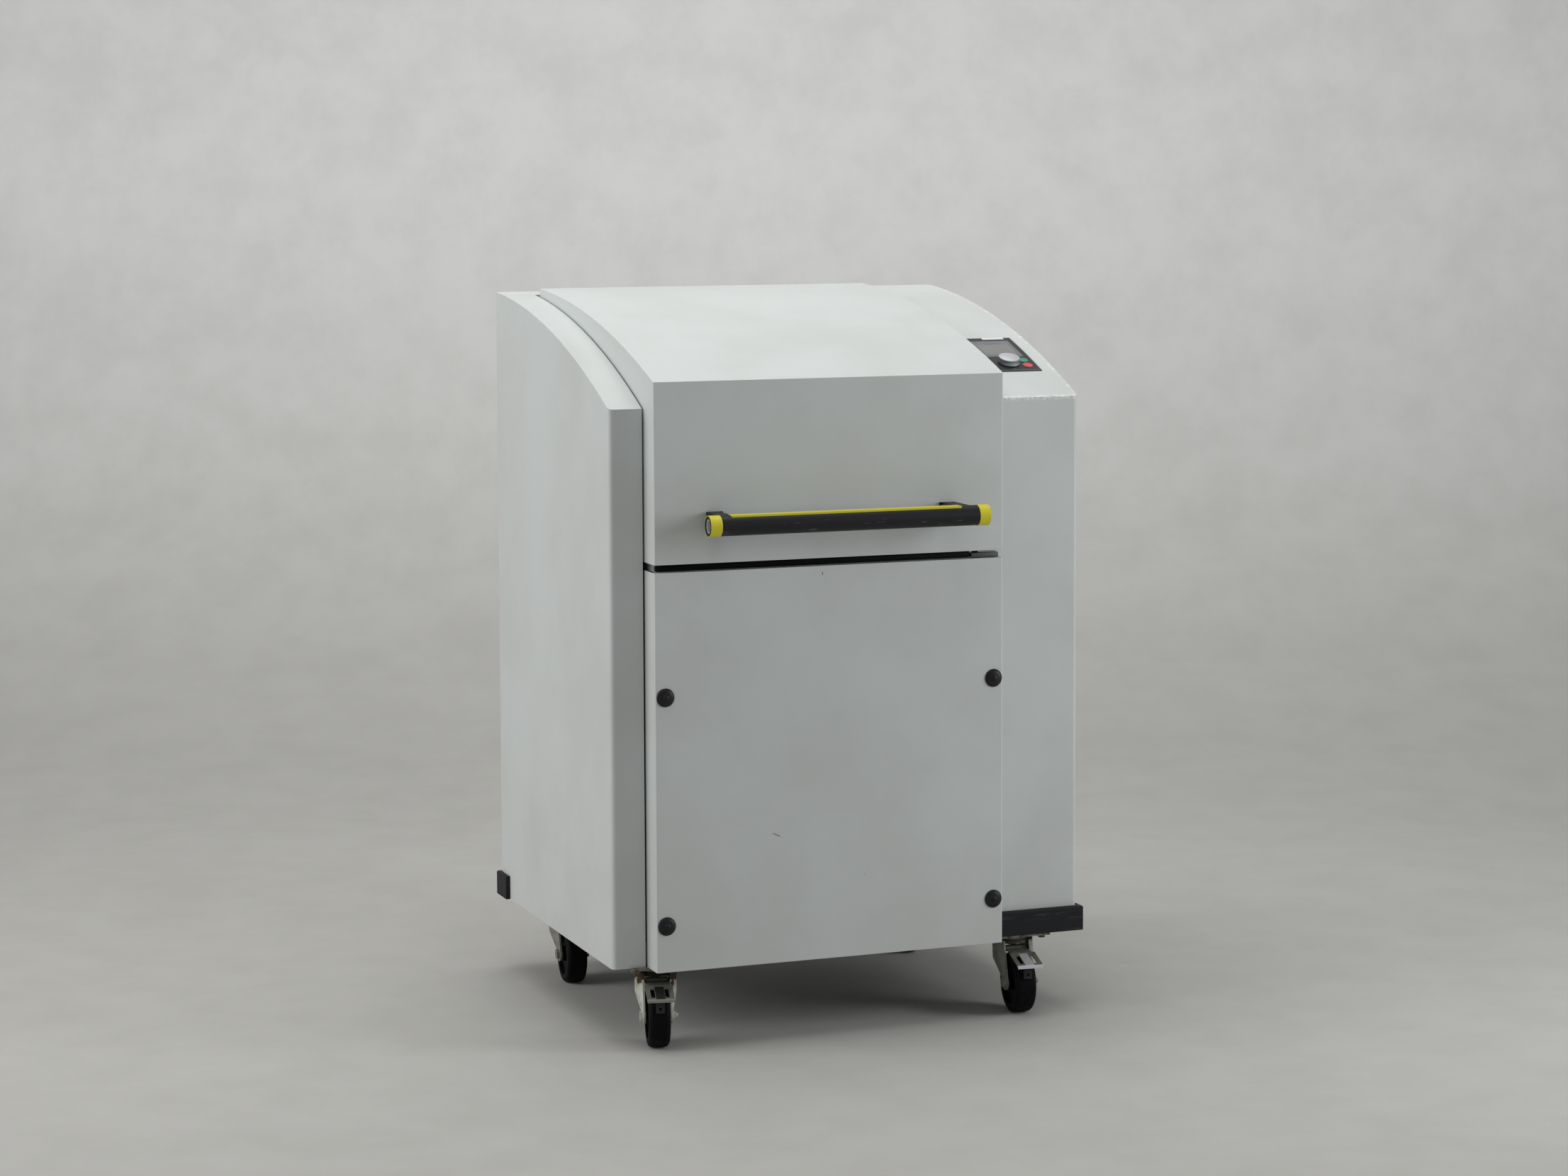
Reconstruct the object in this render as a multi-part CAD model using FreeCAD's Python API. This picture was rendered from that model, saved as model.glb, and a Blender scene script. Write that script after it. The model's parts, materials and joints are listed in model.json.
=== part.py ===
import FreeCAD, Part
import math
import os

# Planetary ball mill: a floor cabinet on four swivel casters with a hinged hood over
# the grinding chamber, and a sun wheel that carries four grinding jars.
# Millimetres. X to the viewer's right, Y to the back, Z up, origin on the floor
# under the middle of the whole machine.

# Cabinet
cabinet_width = 820.0
left_pod_width = 56.0
right_pod_width = 155.0
floor_to_cabinet = 130.0
pod_front_height = 902.0
pod_rise = 163.0
pod_sagitta = 30.0
pod_corner_radius = 8.0
sheet = 2.0
side_gap = 3.0
overrun = 5.0

# Hood
hood_projection = 49.0
hood_length = 622.0
hood_back_inset = 69.0
hood_gap = 13.0
hood_front_height = 291.0
hood_rise = 125.5
hood_sagitta = 23.0
hood_lip_depth = 10.0
hood_break_depth = 119.0
hood_back_height = 67.5
hood_corner_radius = 2.5

# Front panel and its four cover caps
panel_height = 643.0
panel_tray_depth = 53.0
panel_flange_depth = 15.0
panel_corner_radius = 3.0
cap_radius = 15.0
cap_dome_height = 4.5
cap_button_radius = 5.5
cap_button_height = 1.2
cap_rim_height = 1.8
cap_side_inset = 17.0
cap_upper_height = 444.0
cap_lower_height = 75.0

# Handle
handle_reach = 81.0
handle_length = 479.0
handle_offset = 6.0
handle_height = 66.0
handle_radius = 16.5
handle_wall = 4.5
collar_length = 19.0
collar_wall = 1.0
collar_step = 0.6
foot_spacing = 402.0
foot_width = 27.0
foot_drop = 13.0
foot_flare = 4.0
foot_chamfer = 6.0
strip_inset = 4.5
strip_width = 19.0
strip_thickness = 3.6
strip_rise = 0.3
plug_recess = 1.5
plug_thickness = 4.0

# Bumpers
bumper_thickness = 8.0
front_bumper_thickness = 12.0
bumper_height = 41.0
bumper_return = 52.0
bumper_radius = 3.0

# Base frame
tube_size = 40.0
cross_tube_width = 80.0
lower_rail_height = 250.0
upper_rail_height = 370.0
motor_plate_thickness = 12.0
motor_plate_depth = 190.0
mast_top_above_hinge = 11.0
frame_clearance = 2.0

# Hood hinge
hinge_setback = 28.0
hinge_drop = 37.5
hinge_pin_radius = 8.0
hinge_pin_clearance = 0.05
hinge_wall_clearance = 0.3
hinge_plate_thickness = 5.0
hinge_plate_radius = 22.0
hinge_plate_length = 70.0
hinge_head_radius = 12.0
hinge_head_thickness = 4.0
hinge_pin_embed = 20.0
axial_clearance = 0.3

# Grinding chamber
deck_height = 667.0
deck_thickness = 3.0
deck_front_setback = 17.0
deck_side_flange = 20.0
tub_edge = 46.5
tub_wall = 2.5
tub_rim_width = 12.0
tub_rim_thickness = 3.0
tub_clearance = 0.5
tub_depth = 150.0
tub_floor = 3.0
chamber_shift = 8.0
back_wall_setback = 8.0
back_wall_drop = 88.5
gutter_gap = 21.0

# Drive plate with the bearing hub
drive_plate_thickness = 20.0
hub_radius = 55.0
hub_below = 50.0
hub_above = 95.0
hub_clearance = 0.3
rib_count = 6
rib_thickness = 12.0
rib_height = 42.0
rib_reach = 190.0
running_clearance = 0.05

# Main shaft and drive belt
shaft_radius = 22.5
shaft_spigot_radius = 20.0
shaft_flange_radius = 46.0
shaft_flange_thickness = 6.0
shaft_nut_radius = 30.0
shaft_nut_height = 10.0
drive_pulley_radius = 120.0
drive_pulley_width = 35.0
drive_pulley_gap = 15.0
drive_pulley_rim = 12.0
drive_pulley_web = 12.0
drive_pulley_hub_radius = 36.0
belt_width = 20.0
belt_thickness = 5.0
belt_clearance = 0.3
motor_pulley_radius = 40.0
motor_distance = 195.0

# Motor
motor_radius = 74.0
motor_length = 225.0
motor_fin_height = 8.0
motor_fin_thickness = 4.0
motor_fin_count = 20
motor_flange_size = 164.0
motor_flange_thickness = 12.0
motor_cowl_length = 50.0
motor_cowl_radius = 82.0
motor_shaft_radius = 12.0
motor_shaft_depth = 30.0
motor_spigot_radius = 45.0
terminal_box_size = 78.0
terminal_box_depth = 34.0

# Fixed centre pulley and planet belts
fixed_pulley_share = 0.6
fixed_flange_rise = 6.0
fixed_flange_thickness = 2.0
belt_land = 12.0
fixed_bore_radius = 30.0
planet_belt_width = 11.0
planet_belt_thickness = 4.0
planet_turns = 3.0

# Sun wheel
station_count = 4
station_gap = 1.1
station_turn = 45.0
sun_gap = 22.0
sun_thickness = 16.0
sun_rim_width = 8.0
sun_rim_height = 8.0
sun_shaft_gap = 1.0
sun_hole_radius = 34.0
bearing_radius = 32.0
bearing_flange_radius = 38.0
bearing_flange_thickness = 4.0
bearing_below = 4.0

# Jar stations
planet_shaft_radius = 17.5
holder_share = 0.248
holder_base_thickness = 10.0
holder_cup_height = 34.0
jar_share = 0.208
jar_fit = 0.3
jar_height = 105.0
jar_wall = 8.0
jar_floor = 9.0
lid_overhang = 3.0
lid_thickness = 16.0
lid_spigot_depth = 6.0
lid_boss_radius = 22.0
lid_boss_height = 4.0
post_gap = 1.0
post_width = 22.0
post_thickness = 12.0
bar_height = 16.0
bar_width = 26.0
bar_gap = 18.0
bar_boss_radius = 17.0
clamp_screw_radius = 8.0
clamp_pad_radius = 13.0
clamp_pad_height = 5.0
clamp_knob_radius = 16.0
clamp_knob_height = 20.0
clamp_knob_gap = 9.0
clamp_lobe_radius = 8.0
clamp_lobe_count = 5
clamp_lobe_reach = 19.0

# Hood lock
lock_inset = 45.0
striker_thickness = 3.0
striker_width = 14.0
striker_setback = 34.0
striker_rise = 26.0
lock_drop = 14.0
striker_foot = 12.0
striker_hole_radius = 6.0
striker_notch_gap = 4.0
lock_bolt_radius = 4.0
lock_bolt_length = 38.0
lock_bolt_gap = 5.0
lock_body_length = 46.0
lock_body_gap = 8.0
lock_body_width = 26.0
lock_collar_radius = 6.0
lock_collar_length = 4.0
lock_body_floor = 6.0

# Control panel, a film and its carrier that follow the roof of the right pod
control_width = 102.0
control_length = 137.0
control_setback = 87.0
control_film = 1.2
control_depth = 9.0
control_margin = 6.0
control_fit = 0.3
window_width = 80.0
window_length = 64.0
window_back_inset = 17.0
window_depth = 1.0
selector_side_inset = 48.0
selector_front_inset = 31.0
selector_radius = 18.5
selector_height = 11.0
selector_crown = 2.2
selector_gap = 1.4
selector_shaft_radius = 3.0
selector_shaft_above = 8.0
selector_shaft_below = 8.0
selector_collar_radius = 5.0
selector_collar_height = 3.0
key_radius = 8.6
key_side_inset = 17.5
stop_front_inset = 20.0
start_front_inset = 40.0
key_rise = 0.8
key_depth = 6.0
key_fit = 0.3
key_travel = 0.6

# Frequency inverter in the right pod
inverter_width = 96.0
inverter_depth = 190.0
inverter_height = 230.0
inverter_setback = 110.0
inverter_lift = 390.0
inverter_fin_depth = 18.0
inverter_fin_thickness = 3.0
inverter_fin_count = 12

# Power inlet, mains switch and louvres in the rear cover
inlet_width = 64.0
inlet_height = 100.0
inlet_thickness = 4.0
inlet_depth = 34.0
inlet_lift = 120.0
inlet_from_side = 110.0
inlet_margin = 6.0
socket_width = 26.0
socket_height = 20.0
socket_depth = 20.0
socket_drop = 20.0
contact_width = 2.0
contact_height = 6.0
contact_spacing = 7.0
switch_radius = 18.0
switch_width = 22.0
switch_clearance = 0.5
switch_rise = 24.0
switch_pivot_depth = 13.0
switch_tilt = 9.0
switch_pin_radius = 2.0
switch_pin_length = 3.0
louvre_count = 9
louvre_columns = 2
louvre_length = 190.0
louvre_height = 6.0
louvre_pitch = 20.0
louvre_lift = 560.0
louvre_column_gap = 40.0

# Casters
wheel_radius = 50.0
wheel_width = 35.0
wheel_shoulder = 7.0
rim_radius = 36.0
rim_recess = 6.0
wheel_hub_radius = 13.0
axle_radius = 6.0
axle_bolt_radius = 4.0
axle_nut_radius = 8.5
axle_nut_height = 5.0
caster_trail = 38.0
fork_clearance = 3.0
fork_sheet = 3.0
fork_eye_radius = 13.0
fork_disc_radius = 32.0
fork_disc_thickness = 6.0
fork_leg_back = 20.0
fork_leg_front = 30.0
fork_bulge = 10.5
fork_shoulder_height = 85.0
fork_shoulder_back = 18.0
fork_shoulder_front = 39.0
fork_eye_bulge = 0.6
race_radius = 29.0
hexagon_sides = 6
race_thickness = 7.0
race_clearance = 0.3
kingpin_radius = 6.0
kingpin_head_radius = 11.0
kingpin_head_thickness = 5.0
caster_plate_length = 105.0
caster_plate_width = 85.0
caster_plate_thickness = 4.0
plate_bolt_inset = 11.0
plate_bolt_radius = 6.5
plate_bolt_height = 5.0
caster_left_inset = 83.0
caster_right_inset = 105.0
caster_front_setback = 34.0
caster_back_setback = 121.0
front_left_turn = 13.0
front_right_turn = 6.0
back_left_turn = 5.0
back_right_turn = 9.0

# Toe brake of the front casters, in the caster's own plane: reach in front of the
# swivel axis, and height over the floor
pedal_width = 44.0
pedal_sheet = 2.5
pedal_pin_radius = 3.0
pedal_pin_clearance = 0.05
pedal_pin_reach = 20.0
pedal_pin_height = 104.0
pedal_ear_radius = 5.5
pedal_shoe_start = 32.0
pedal_shoe_length = 16.0
pedal_shoe_width = 18.0
pedal_shoe_clearance = 0.3
pedal_knee_reach = 58.0
pedal_knee_height = 104.0
pedal_toe_reach = 106.0
pedal_toe_height = 91.0
pedal_lip = 4.0
pedal_slot_width = 7.0
pedal_slot_length = 30.0
pedal_slot_end = 9.0
pedal_tongue_width = 16.0
pedal_tab_width = 14.0
pedal_tab_thickness = 4.0
pedal_tab_reach = 91.0
pedal_tab_bottom = 66.0
pedal_tab_bore_radius = 2.5

# Places worked out from the sizes above
left_face = -cabinet_width / 2
right_face = cabinet_width / 2
left_inner = left_face + left_pod_width
right_inner = right_face - right_pod_width
hood_left = left_inner + side_gap
hood_right = right_inner - side_gap
centre_x = (hood_left + hood_right) / 2

pod_depth = hood_length + hood_back_inset - hood_projection
total_depth = handle_reach + hood_projection + pod_depth + bumper_thickness
back_face = total_depth / 2 - bumper_thickness
pod_front = back_face - pod_depth
hood_front = pod_front - hood_projection
hood_back = hood_front + hood_length
gutter_back = hood_back + gutter_gap

cabinet_bottom = floor_to_cabinet
pod_front_top = cabinet_bottom + pod_front_height
pod_back_top = pod_front_top + pod_rise
panel_top = cabinet_bottom + panel_height
hood_bottom = panel_top + hood_gap
hood_front_top = hood_bottom + hood_front_height
hood_back_top = hood_front_top + hood_rise

hinge_y = hood_back - hinge_setback
hinge_z = hood_back_top - hinge_drop

deck_bottom = cabinet_bottom + deck_height
deck_top = deck_bottom + deck_thickness
deck_left = hood_left + sheet + side_gap
deck_right = hood_right - sheet - side_gap
deck_front = hood_front + deck_front_setback
deck_back = hood_back - back_wall_setback
chamber_y = pod_front + pod_depth / 2 - chamber_shift - hood_projection
tub_floor_top = deck_top - tub_depth
tub_radius = min(deck_right - deck_left, deck_back - deck_front) / 2 - tub_edge
sun_radius = tub_radius - sun_gap
holder_radius = tub_radius * holder_share
jar_radius = tub_radius * jar_share
jar_bore_radius = jar_radius - jar_wall
lid_radius = jar_radius + lid_overhang
post_reach = math.hypot(lid_radius + post_gap + post_thickness, post_width / 2)
station_radius = sun_radius - sun_rim_width - station_gap - post_reach
fixed_pulley_radius = station_radius * fixed_pulley_share
fixed_flange_radius = fixed_pulley_radius + fixed_flange_rise
planet_pulley_radius = fixed_pulley_radius / planet_turns
back_wall_top = hood_back_top - back_wall_drop

frame_bottom = cabinet_bottom
frame_top = frame_bottom + tube_size
front_cross_start = hood_front + panel_tray_depth
front_caster_y = pod_front + caster_front_setback
back_caster_y = back_face - caster_back_setback
back_cross_end = back_caster_y + cross_tube_width / 2
upright_left = deck_left
upright_right = deck_right - tube_size
upright_front = front_cross_start
upright_back = back_cross_end - tube_size
lower_rail_bottom = frame_bottom + lower_rail_height
upper_rail_bottom = frame_bottom + upper_rail_height

drive_plate_bottom = upper_rail_bottom + tube_size
drive_plate_top = drive_plate_bottom + drive_plate_thickness
hub_bottom = drive_plate_bottom - hub_below
hub_top = drive_plate_top + hub_above
drive_pulley_top = hub_bottom - drive_pulley_gap
drive_pulley_bottom = drive_pulley_top - drive_pulley_width
motor_plate_bottom = lower_rail_bottom + tube_size
motor_plate_top = motor_plate_bottom + motor_plate_thickness
motor_y = chamber_y + motor_distance

land_pitch = belt_land + fixed_flange_thickness
fixed_pulley_top = hub_top + station_count * land_pitch + fixed_flange_thickness
sun_flange_bottom = fixed_pulley_top + sun_shaft_gap
sun_bottom = sun_flange_bottom + shaft_flange_thickness
sun_top = sun_bottom + sun_thickness
bearing_bottom = sun_bottom - bearing_below
bearing_top = sun_top + bearing_flange_thickness
holder_bottom = bearing_top + axial_clearance
cup_floor = holder_bottom + holder_base_thickness
cup_top = cup_floor + holder_cup_height
jar_top = cup_floor + jar_height
lid_top = jar_top + lid_thickness + lid_boss_height
bar_bottom = lid_top + bar_gap
bar_top = bar_bottom + bar_height
clamp_pad_bottom = lid_top + axial_clearance

handle_x = centre_x + handle_offset
handle_y = hood_front - handle_reach + handle_radius + collar_step
handle_z = hood_bottom + handle_height

striker_x = hood_right - lock_inset
striker_y = hood_front + striker_setback + striker_width / 2
lock_z = hood_bottom - lock_drop

control_centre_x = (right_inner + right_face) / 2
control_left = control_centre_x - control_width / 2
control_right = control_centre_x + control_width / 2
control_front = pod_front + control_setback
control_back = control_front + control_length

fork_leg_inner = wheel_width / 2 + fork_clearance
fork_leg_outer = fork_leg_inner + fork_sheet
plate_bottom = cabinet_bottom - caster_plate_thickness
race_bottom = plate_bottom - race_thickness
fork_disc_top = race_bottom - race_clearance
fork_disc_bottom = fork_disc_top - fork_disc_thickness


def vec(x, y, z):
    return FreeCAD.Vector(x, y, z)


def box(x0, x1, y0, y1, z0, z1):
    return Part.makeBox(x1 - x0, y1 - y0, z1 - z0, vec(x0, y0, z0))


def rod(radius, start, end):
    """A cylinder from one point to another."""
    along = end - start
    return Part.makeCylinder(radius, along.Length, start, along)


def post(radius, x, y, z0, z1):
    """An upright cylinder."""
    return rod(radius, vec(x, y, z0), vec(x, y, z1))


def ring(outer, inner, x, y, z0, z1):
    return post(outer, x, y, z0, z1).cut(post(inner, x, y, z0 - overrun, z1 + overrun))


def plate_yz(points, x0, x1):
    """A flat plate from its outline of (y, z) points, between two x."""
    corners = [vec(x0, y, z) for y, z in points]
    face = Part.Face(Part.makePolygon(corners + corners[:1]))
    return face.extrude(vec(x1 - x0, 0, 0))


def join(shapes):
    whole = shapes[0].fuse(shapes[1:])
    return whole.removeSplitter()


def export(name, shape):
    shape.exportStep("parts/" + name + ".step")


def upright_edges(shape, x, y):
    """The straight vertical edges of a shape that stand at one place in plan."""
    near = sheet / 10
    found = []
    for edge in shape.Edges:
        places = [vertex.Point for vertex in edge.Vertexes]
        if len(places) == 2 and all(math.hypot(p.x - x, p.y - y) < near for p in places):
            found.append(edge)
    return found


def arc_over(y0, z0, y1, z1, sagitta):
    """Centre (y, z) and radius of the arc that bulges upwards over two points."""
    chord = math.hypot(y1 - y0, z1 - z0)
    radius = (chord * chord / 4 + sagitta * sagitta) / (2 * sagitta)
    up_y = -(z1 - z0) / chord
    up_z = (y1 - y0) / chord
    back = radius - sagitta
    return (y0 + y1) / 2 - up_y * back, (z0 + z1) / 2 - up_z * back, radius


def arc_height(arc, y, inset):
    centre_y, centre_z, radius = arc
    return centre_z + math.sqrt((radius - inset) ** 2 - (y - centre_y) ** 2)


def arched_prism(arc, inset, y0, y1, lower, x0, x1):
    """A prism between two x under an arc, closed below through the lower (y, z) points."""
    tops = [vec(x0, y, arc_height(arc, y, inset)) for y in (y0, (y0 + y1) / 2, y1)]
    corners = [tops[2]] + [vec(x0, y, z) for y, z in lower] + [tops[0]]
    outline = [Part.Arc(*tops).toShape()] + Part.makePolygon(corners).Edges
    return Part.Face(Part.Wire(outline)).extrude(vec(x1 - x0, 0, 0))


pod_arc = arc_over(pod_front, pod_front_top, back_face, pod_back_top, pod_sagitta)
hood_arc = arc_over(hood_front, hood_front_top, hood_back, hood_back_top, hood_sagitta)


def roof_point(y, height):
    """A point (y, z) at a height square to the pod's roof, over the roof at y."""
    centre_y, centre_z, radius = pod_arc
    on_roof = arc_height(pod_arc, y, 0)
    share = (radius + height) / radius
    return centre_y + (y - centre_y) * share, centre_z + (on_roof - centre_z) * share


def roof_band(y0, y1, bottom, top, x0, x1):
    """A curved slab that follows the roof between two heights square to it."""
    places = (y0, (y0 + y1) / 2, y1)
    outer = [vec(x0, *roof_point(y, top)) for y in places]
    inner = [vec(x0, *roof_point(y, bottom)) for y in places]
    outline = [
        Part.Arc(*outer).toShape(),
        Part.makeLine(outer[2], inner[2]),
        Part.Arc(*reversed(inner)).toShape(),
        Part.makeLine(inner[0], outer[0]),
    ]
    return Part.Face(Part.Wire(outline)).extrude(vec(x1 - x0, 0, 0))


def roof_rod(radius, x, y, bottom, top):
    """A cylinder that stands square on the roof."""
    return rod(radius, vec(x, *roof_point(y, bottom)), vec(x, *roof_point(y, top)))


def side_cover(x0, x1, outer_x, inner_x):
    """A closed sheet cover of one side pod, open at the bottom."""
    inward = sheet if outer_x == x0 else -sheet
    floor = [(back_face, cabinet_bottom), (pod_front, cabinet_bottom)]
    outside = arched_prism(pod_arc, 0, pod_front, back_face, floor, x0, x1)
    outside = outside.makeFillet(pod_corner_radius, upright_edges(outside, outer_x, pod_front))
    y0 = pod_front + sheet
    y1 = back_face - sheet
    below = cabinet_bottom - overrun
    inside = arched_prism(pod_arc, sheet, y0, y1, [(y1, below), (y0, below)], x0 + sheet, x1 - sheet)
    inner_edges = upright_edges(inside, outer_x + inward, y0)
    inside = inside.makeFillet(pod_corner_radius - sheet, inner_edges)
    pin_hole = rod(
        hinge_pin_radius + hinge_wall_clearance,
        vec(inner_x - sheet - overrun, hinge_y, hinge_z),
        vec(inner_x + sheet + overrun, hinge_y, hinge_z),
    )
    frame_notch = box(inner_x - sheet - overrun, inner_x + sheet + overrun, y0, y1, below, frame_top)
    return outside.cut([inside, pin_hole, frame_notch])


def left_side_cover():
    return side_cover(left_face, left_inner, left_face, left_inner)


def right_side_cover():
    cover = side_cover(right_inner, right_face, right_face, right_inner)
    window = roof_band(
        control_front + control_margin - control_fit,
        control_back - control_margin + control_fit,
        -control_depth - overrun,
        overrun,
        control_left + control_margin - control_fit,
        control_right - control_margin + control_fit,
    )
    return cover.cut(window)


def inlet_places():
    """Middle (x, z) of the power inlet in the rear cover."""
    return right_inner - inlet_from_side, cabinet_bottom + inlet_lift


def rear_cover():
    """The back wall between the pods, and the strip over its top behind the hood."""
    y0 = gutter_back
    foot = [(back_face, cabinet_bottom), (y0, cabinet_bottom)]
    top = arched_prism(pod_arc, 0, y0, back_face, foot, left_inner, right_inner)
    y1 = back_face - sheet
    below = cabinet_bottom - overrun
    core = arched_prism(
        pod_arc,
        sheet,
        y0 + sheet,
        y1,
        [(y1, below), (y0 + sheet, below)],
        left_inner - overrun,
        right_inner + overrun,
    )
    front_cut = box(
        left_inner - overrun, right_inner + overrun, y0 - overrun, y0 + sheet, below, back_wall_top
    )
    cover = top.cut([core, front_cut])
    slots = []
    pitch_x = louvre_length + louvre_column_gap
    for column in range(louvre_columns):
        middle = centre_x + (column - (louvre_columns - 1) / 2) * pitch_x
        for row in range(louvre_count):
            z = cabinet_bottom + louvre_lift + row * louvre_pitch
            slots.append(
                box(
                    middle - louvre_length / 2,
                    middle + louvre_length / 2,
                    y1 - overrun,
                    back_face + overrun,
                    z,
                    z + louvre_height,
                )
            )
    x, z = inlet_places()
    half_w = inlet_width / 2 - inlet_margin
    half_h = inlet_height / 2 - inlet_margin
    slots.append(box(x - half_w, x + half_w, y1 - overrun, back_face + overrun, z - half_h, z + half_h))
    return cover.cut(slots)


def front_panel():
    """A sheet tray: front face, deep side flanges, shallow top and bottom flanges."""
    outside = box(
        hood_left, hood_right, hood_front, hood_front + panel_tray_depth, cabinet_bottom, panel_top
    )
    for x in (hood_left, hood_right):
        outside = outside.makeFillet(panel_corner_radius, upright_edges(outside, x, hood_front))
    hollow = box(
        hood_left + sheet,
        hood_right - sheet,
        hood_front + sheet,
        hood_front + panel_tray_depth + overrun,
        cabinet_bottom + sheet,
        panel_top - sheet,
    )
    cuts = [hollow]
    for z in (cabinet_bottom, panel_top):
        cuts.append(
            box(
                hood_left + sheet,
                hood_right - sheet,
                hood_front + panel_flange_depth,
                hood_front + panel_tray_depth + overrun,
                z - sheet - overrun,
                z + sheet + overrun,
            )
        )
    for x, z in cap_places():
        cuts.append(rod(cap_button_radius, vec(x, hood_front - overrun, z), vec(x, hood_front + overrun, z)))
    return outside.cut(cuts)


def cap_places():
    places = []
    for x in (hood_left + cap_side_inset, hood_right - cap_side_inset):
        for height in (cap_lower_height, cap_upper_height):
            places.append((x, cabinet_bottom + height))
    return places


def crowned_disc(radius, height, crown, foot, direction):
    """A disc with a domed top, from its foot along a direction."""
    sphere_radius = (radius**2 + crown**2) / (2 * crown)
    half_way = math.asin(radius / sphere_radius) / 2
    middle = vec(
        sphere_radius * math.sin(half_way),
        0,
        height - sphere_radius + sphere_radius * math.cos(half_way),
    )
    rim = vec(radius, 0, height - crown)
    top = vec(0, 0, height)
    outline = [
        Part.makeLine(vec(0, 0, 0), vec(radius, 0, 0)),
        Part.makeLine(vec(radius, 0, 0), rim),
        Part.Arc(rim, middle, top).toShape(),
        Part.makeLine(top, vec(0, 0, 0)),
    ]
    whole_turn = 360
    disc = Part.Face(Part.Wire(outline)).revolve(vec(0, 0, 0), vec(0, 0, 1), whole_turn)
    disc.Placement = FreeCAD.Placement(foot, FreeCAD.Rotation(vec(0, 0, 1), direction))
    return disc


def cover_cap(x, z):
    """A domed plastic cap with a stub that plugs the screw hole behind it."""
    crown = cap_rim_height + cap_dome_height
    front = hood_front
    body = crowned_disc(cap_radius, crown, cap_dome_height, vec(x, front, z), vec(0, -1, 0))
    button = rod(cap_button_radius, vec(x, front, z), vec(x, front - crown - cap_button_height, z))
    stub = rod(cap_button_radius, vec(x, front, z), vec(x, front + sheet, z))
    return join([body, button, stub])


def cover_caps():
    return Part.makeCompound([cover_cap(x, z) for x, z in cap_places()])


def hood_shell():
    """Roof, front wall, two side walls cut away to the hinge, and lips."""
    lower = [
        (hood_back, hood_back_top - hood_back_height),
        (hood_front + hood_break_depth, hood_bottom),
        (hood_front, hood_bottom),
    ]
    outside = arched_prism(hood_arc, 0, hood_front, hood_back, lower, hood_left, hood_right)
    for x in (hood_left, hood_right):
        outside = outside.makeFillet(hood_corner_radius, upright_edges(outside, x, hood_front))
    y0 = hood_front + sheet
    y1 = hood_back + overrun
    below = hood_bottom - overrun
    inside = arched_prism(
        hood_arc, sheet, y0, y1, [(y1, below), (y0, below)], hood_left + sheet, hood_right - sheet
    )
    shell = outside.cut(inside)
    front_lip = box(
        hood_left + sheet, hood_right - sheet, y0, y0 + hood_lip_depth, hood_bottom, hood_bottom + sheet
    )
    roof_under = arc_height(hood_arc, hood_back, sheet)
    back_lip = box(
        hood_left + sheet,
        hood_right - sheet,
        hood_back - sheet,
        hood_back,
        roof_under - hood_lip_depth,
        roof_under,
    )
    pin_hole = rod(
        hinge_pin_radius + hinge_wall_clearance,
        vec(hood_left - overrun, hinge_y, hinge_z),
        vec(hood_right + overrun, hinge_y, hinge_z),
    )
    return join([shell, front_lip, back_lip]).cut(pin_hole)


def striker():
    """A hook plate on the hood's front wall that hangs through the deck to the lock."""
    near = striker_y - striker_width / 2
    far = striker_y + striker_width / 2
    top = hood_bottom + striker_rise
    step = hood_bottom + sheet
    outline = [
        (hood_front + sheet, step),
        (hood_front + sheet, top),
        (far, top),
        (far, lock_z - striker_foot),
        (near, lock_z - striker_foot),
        (near, step),
    ]
    hook = plate_yz(outline, striker_x, striker_x + striker_thickness)
    hole = rod(
        striker_hole_radius,
        vec(striker_x - overrun, striker_y, lock_z),
        vec(striker_x + striker_thickness + overrun, striker_y, lock_z),
    )
    return hook.cut(hole)


def handle_ends():
    return handle_x - handle_length / 2, handle_x + handle_length / 2


def foot_centres():
    return centre_x - foot_spacing / 2, centre_x + foot_spacing / 2


def handle_rod(radius, x0, x1):
    return rod(radius, vec(x0, handle_y, handle_z), vec(x1, handle_y, handle_z))


def strip_bar():
    """The flat bar let into the top of the tube from foot to foot."""
    left, right = foot_centres()
    top = handle_z + handle_radius + strip_rise
    return box(
        left + strip_inset,
        right - strip_inset,
        handle_y - strip_width / 2,
        handle_y + strip_width / 2,
        top - strip_thickness,
        top,
    )


def handle_tube():
    x0, x1 = handle_ends()
    body = handle_rod(handle_radius, x0, x1).cut(handle_rod(handle_radius - handle_wall, x0, x1))
    cuts = []
    seat_radius = handle_radius + collar_step - collar_wall
    for start, end in ((x0, x0 + collar_length), (x1 - collar_length, x1)):
        sleeve = handle_rod(handle_radius + overrun, start, end)
        cuts.append(sleeve.cut(handle_rod(seat_radius, start, end)))
    cuts.append(strip_bar())
    return body.cut(cuts)


def handle_trim():
    """The two end collars, the end plugs and the inlay strip between the feet."""
    x0, x1 = handle_ends()
    outer = handle_radius + collar_step
    pieces = []
    for start, end in ((x0, x0 + collar_length), (x1 - collar_length, x1)):
        pieces.append(handle_rod(outer, start, end).cut(handle_rod(outer - collar_wall, start, end)))
    plug_radius = handle_radius - handle_wall
    plug_depth = plug_recess + plug_thickness
    pieces.append(handle_rod(plug_radius, x0 + plug_recess, x0 + plug_depth))
    pieces.append(handle_rod(plug_radius, x1 - plug_depth, x1 - plug_recess))
    pieces.append(strip_bar())
    return Part.makeCompound(pieces)


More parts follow.
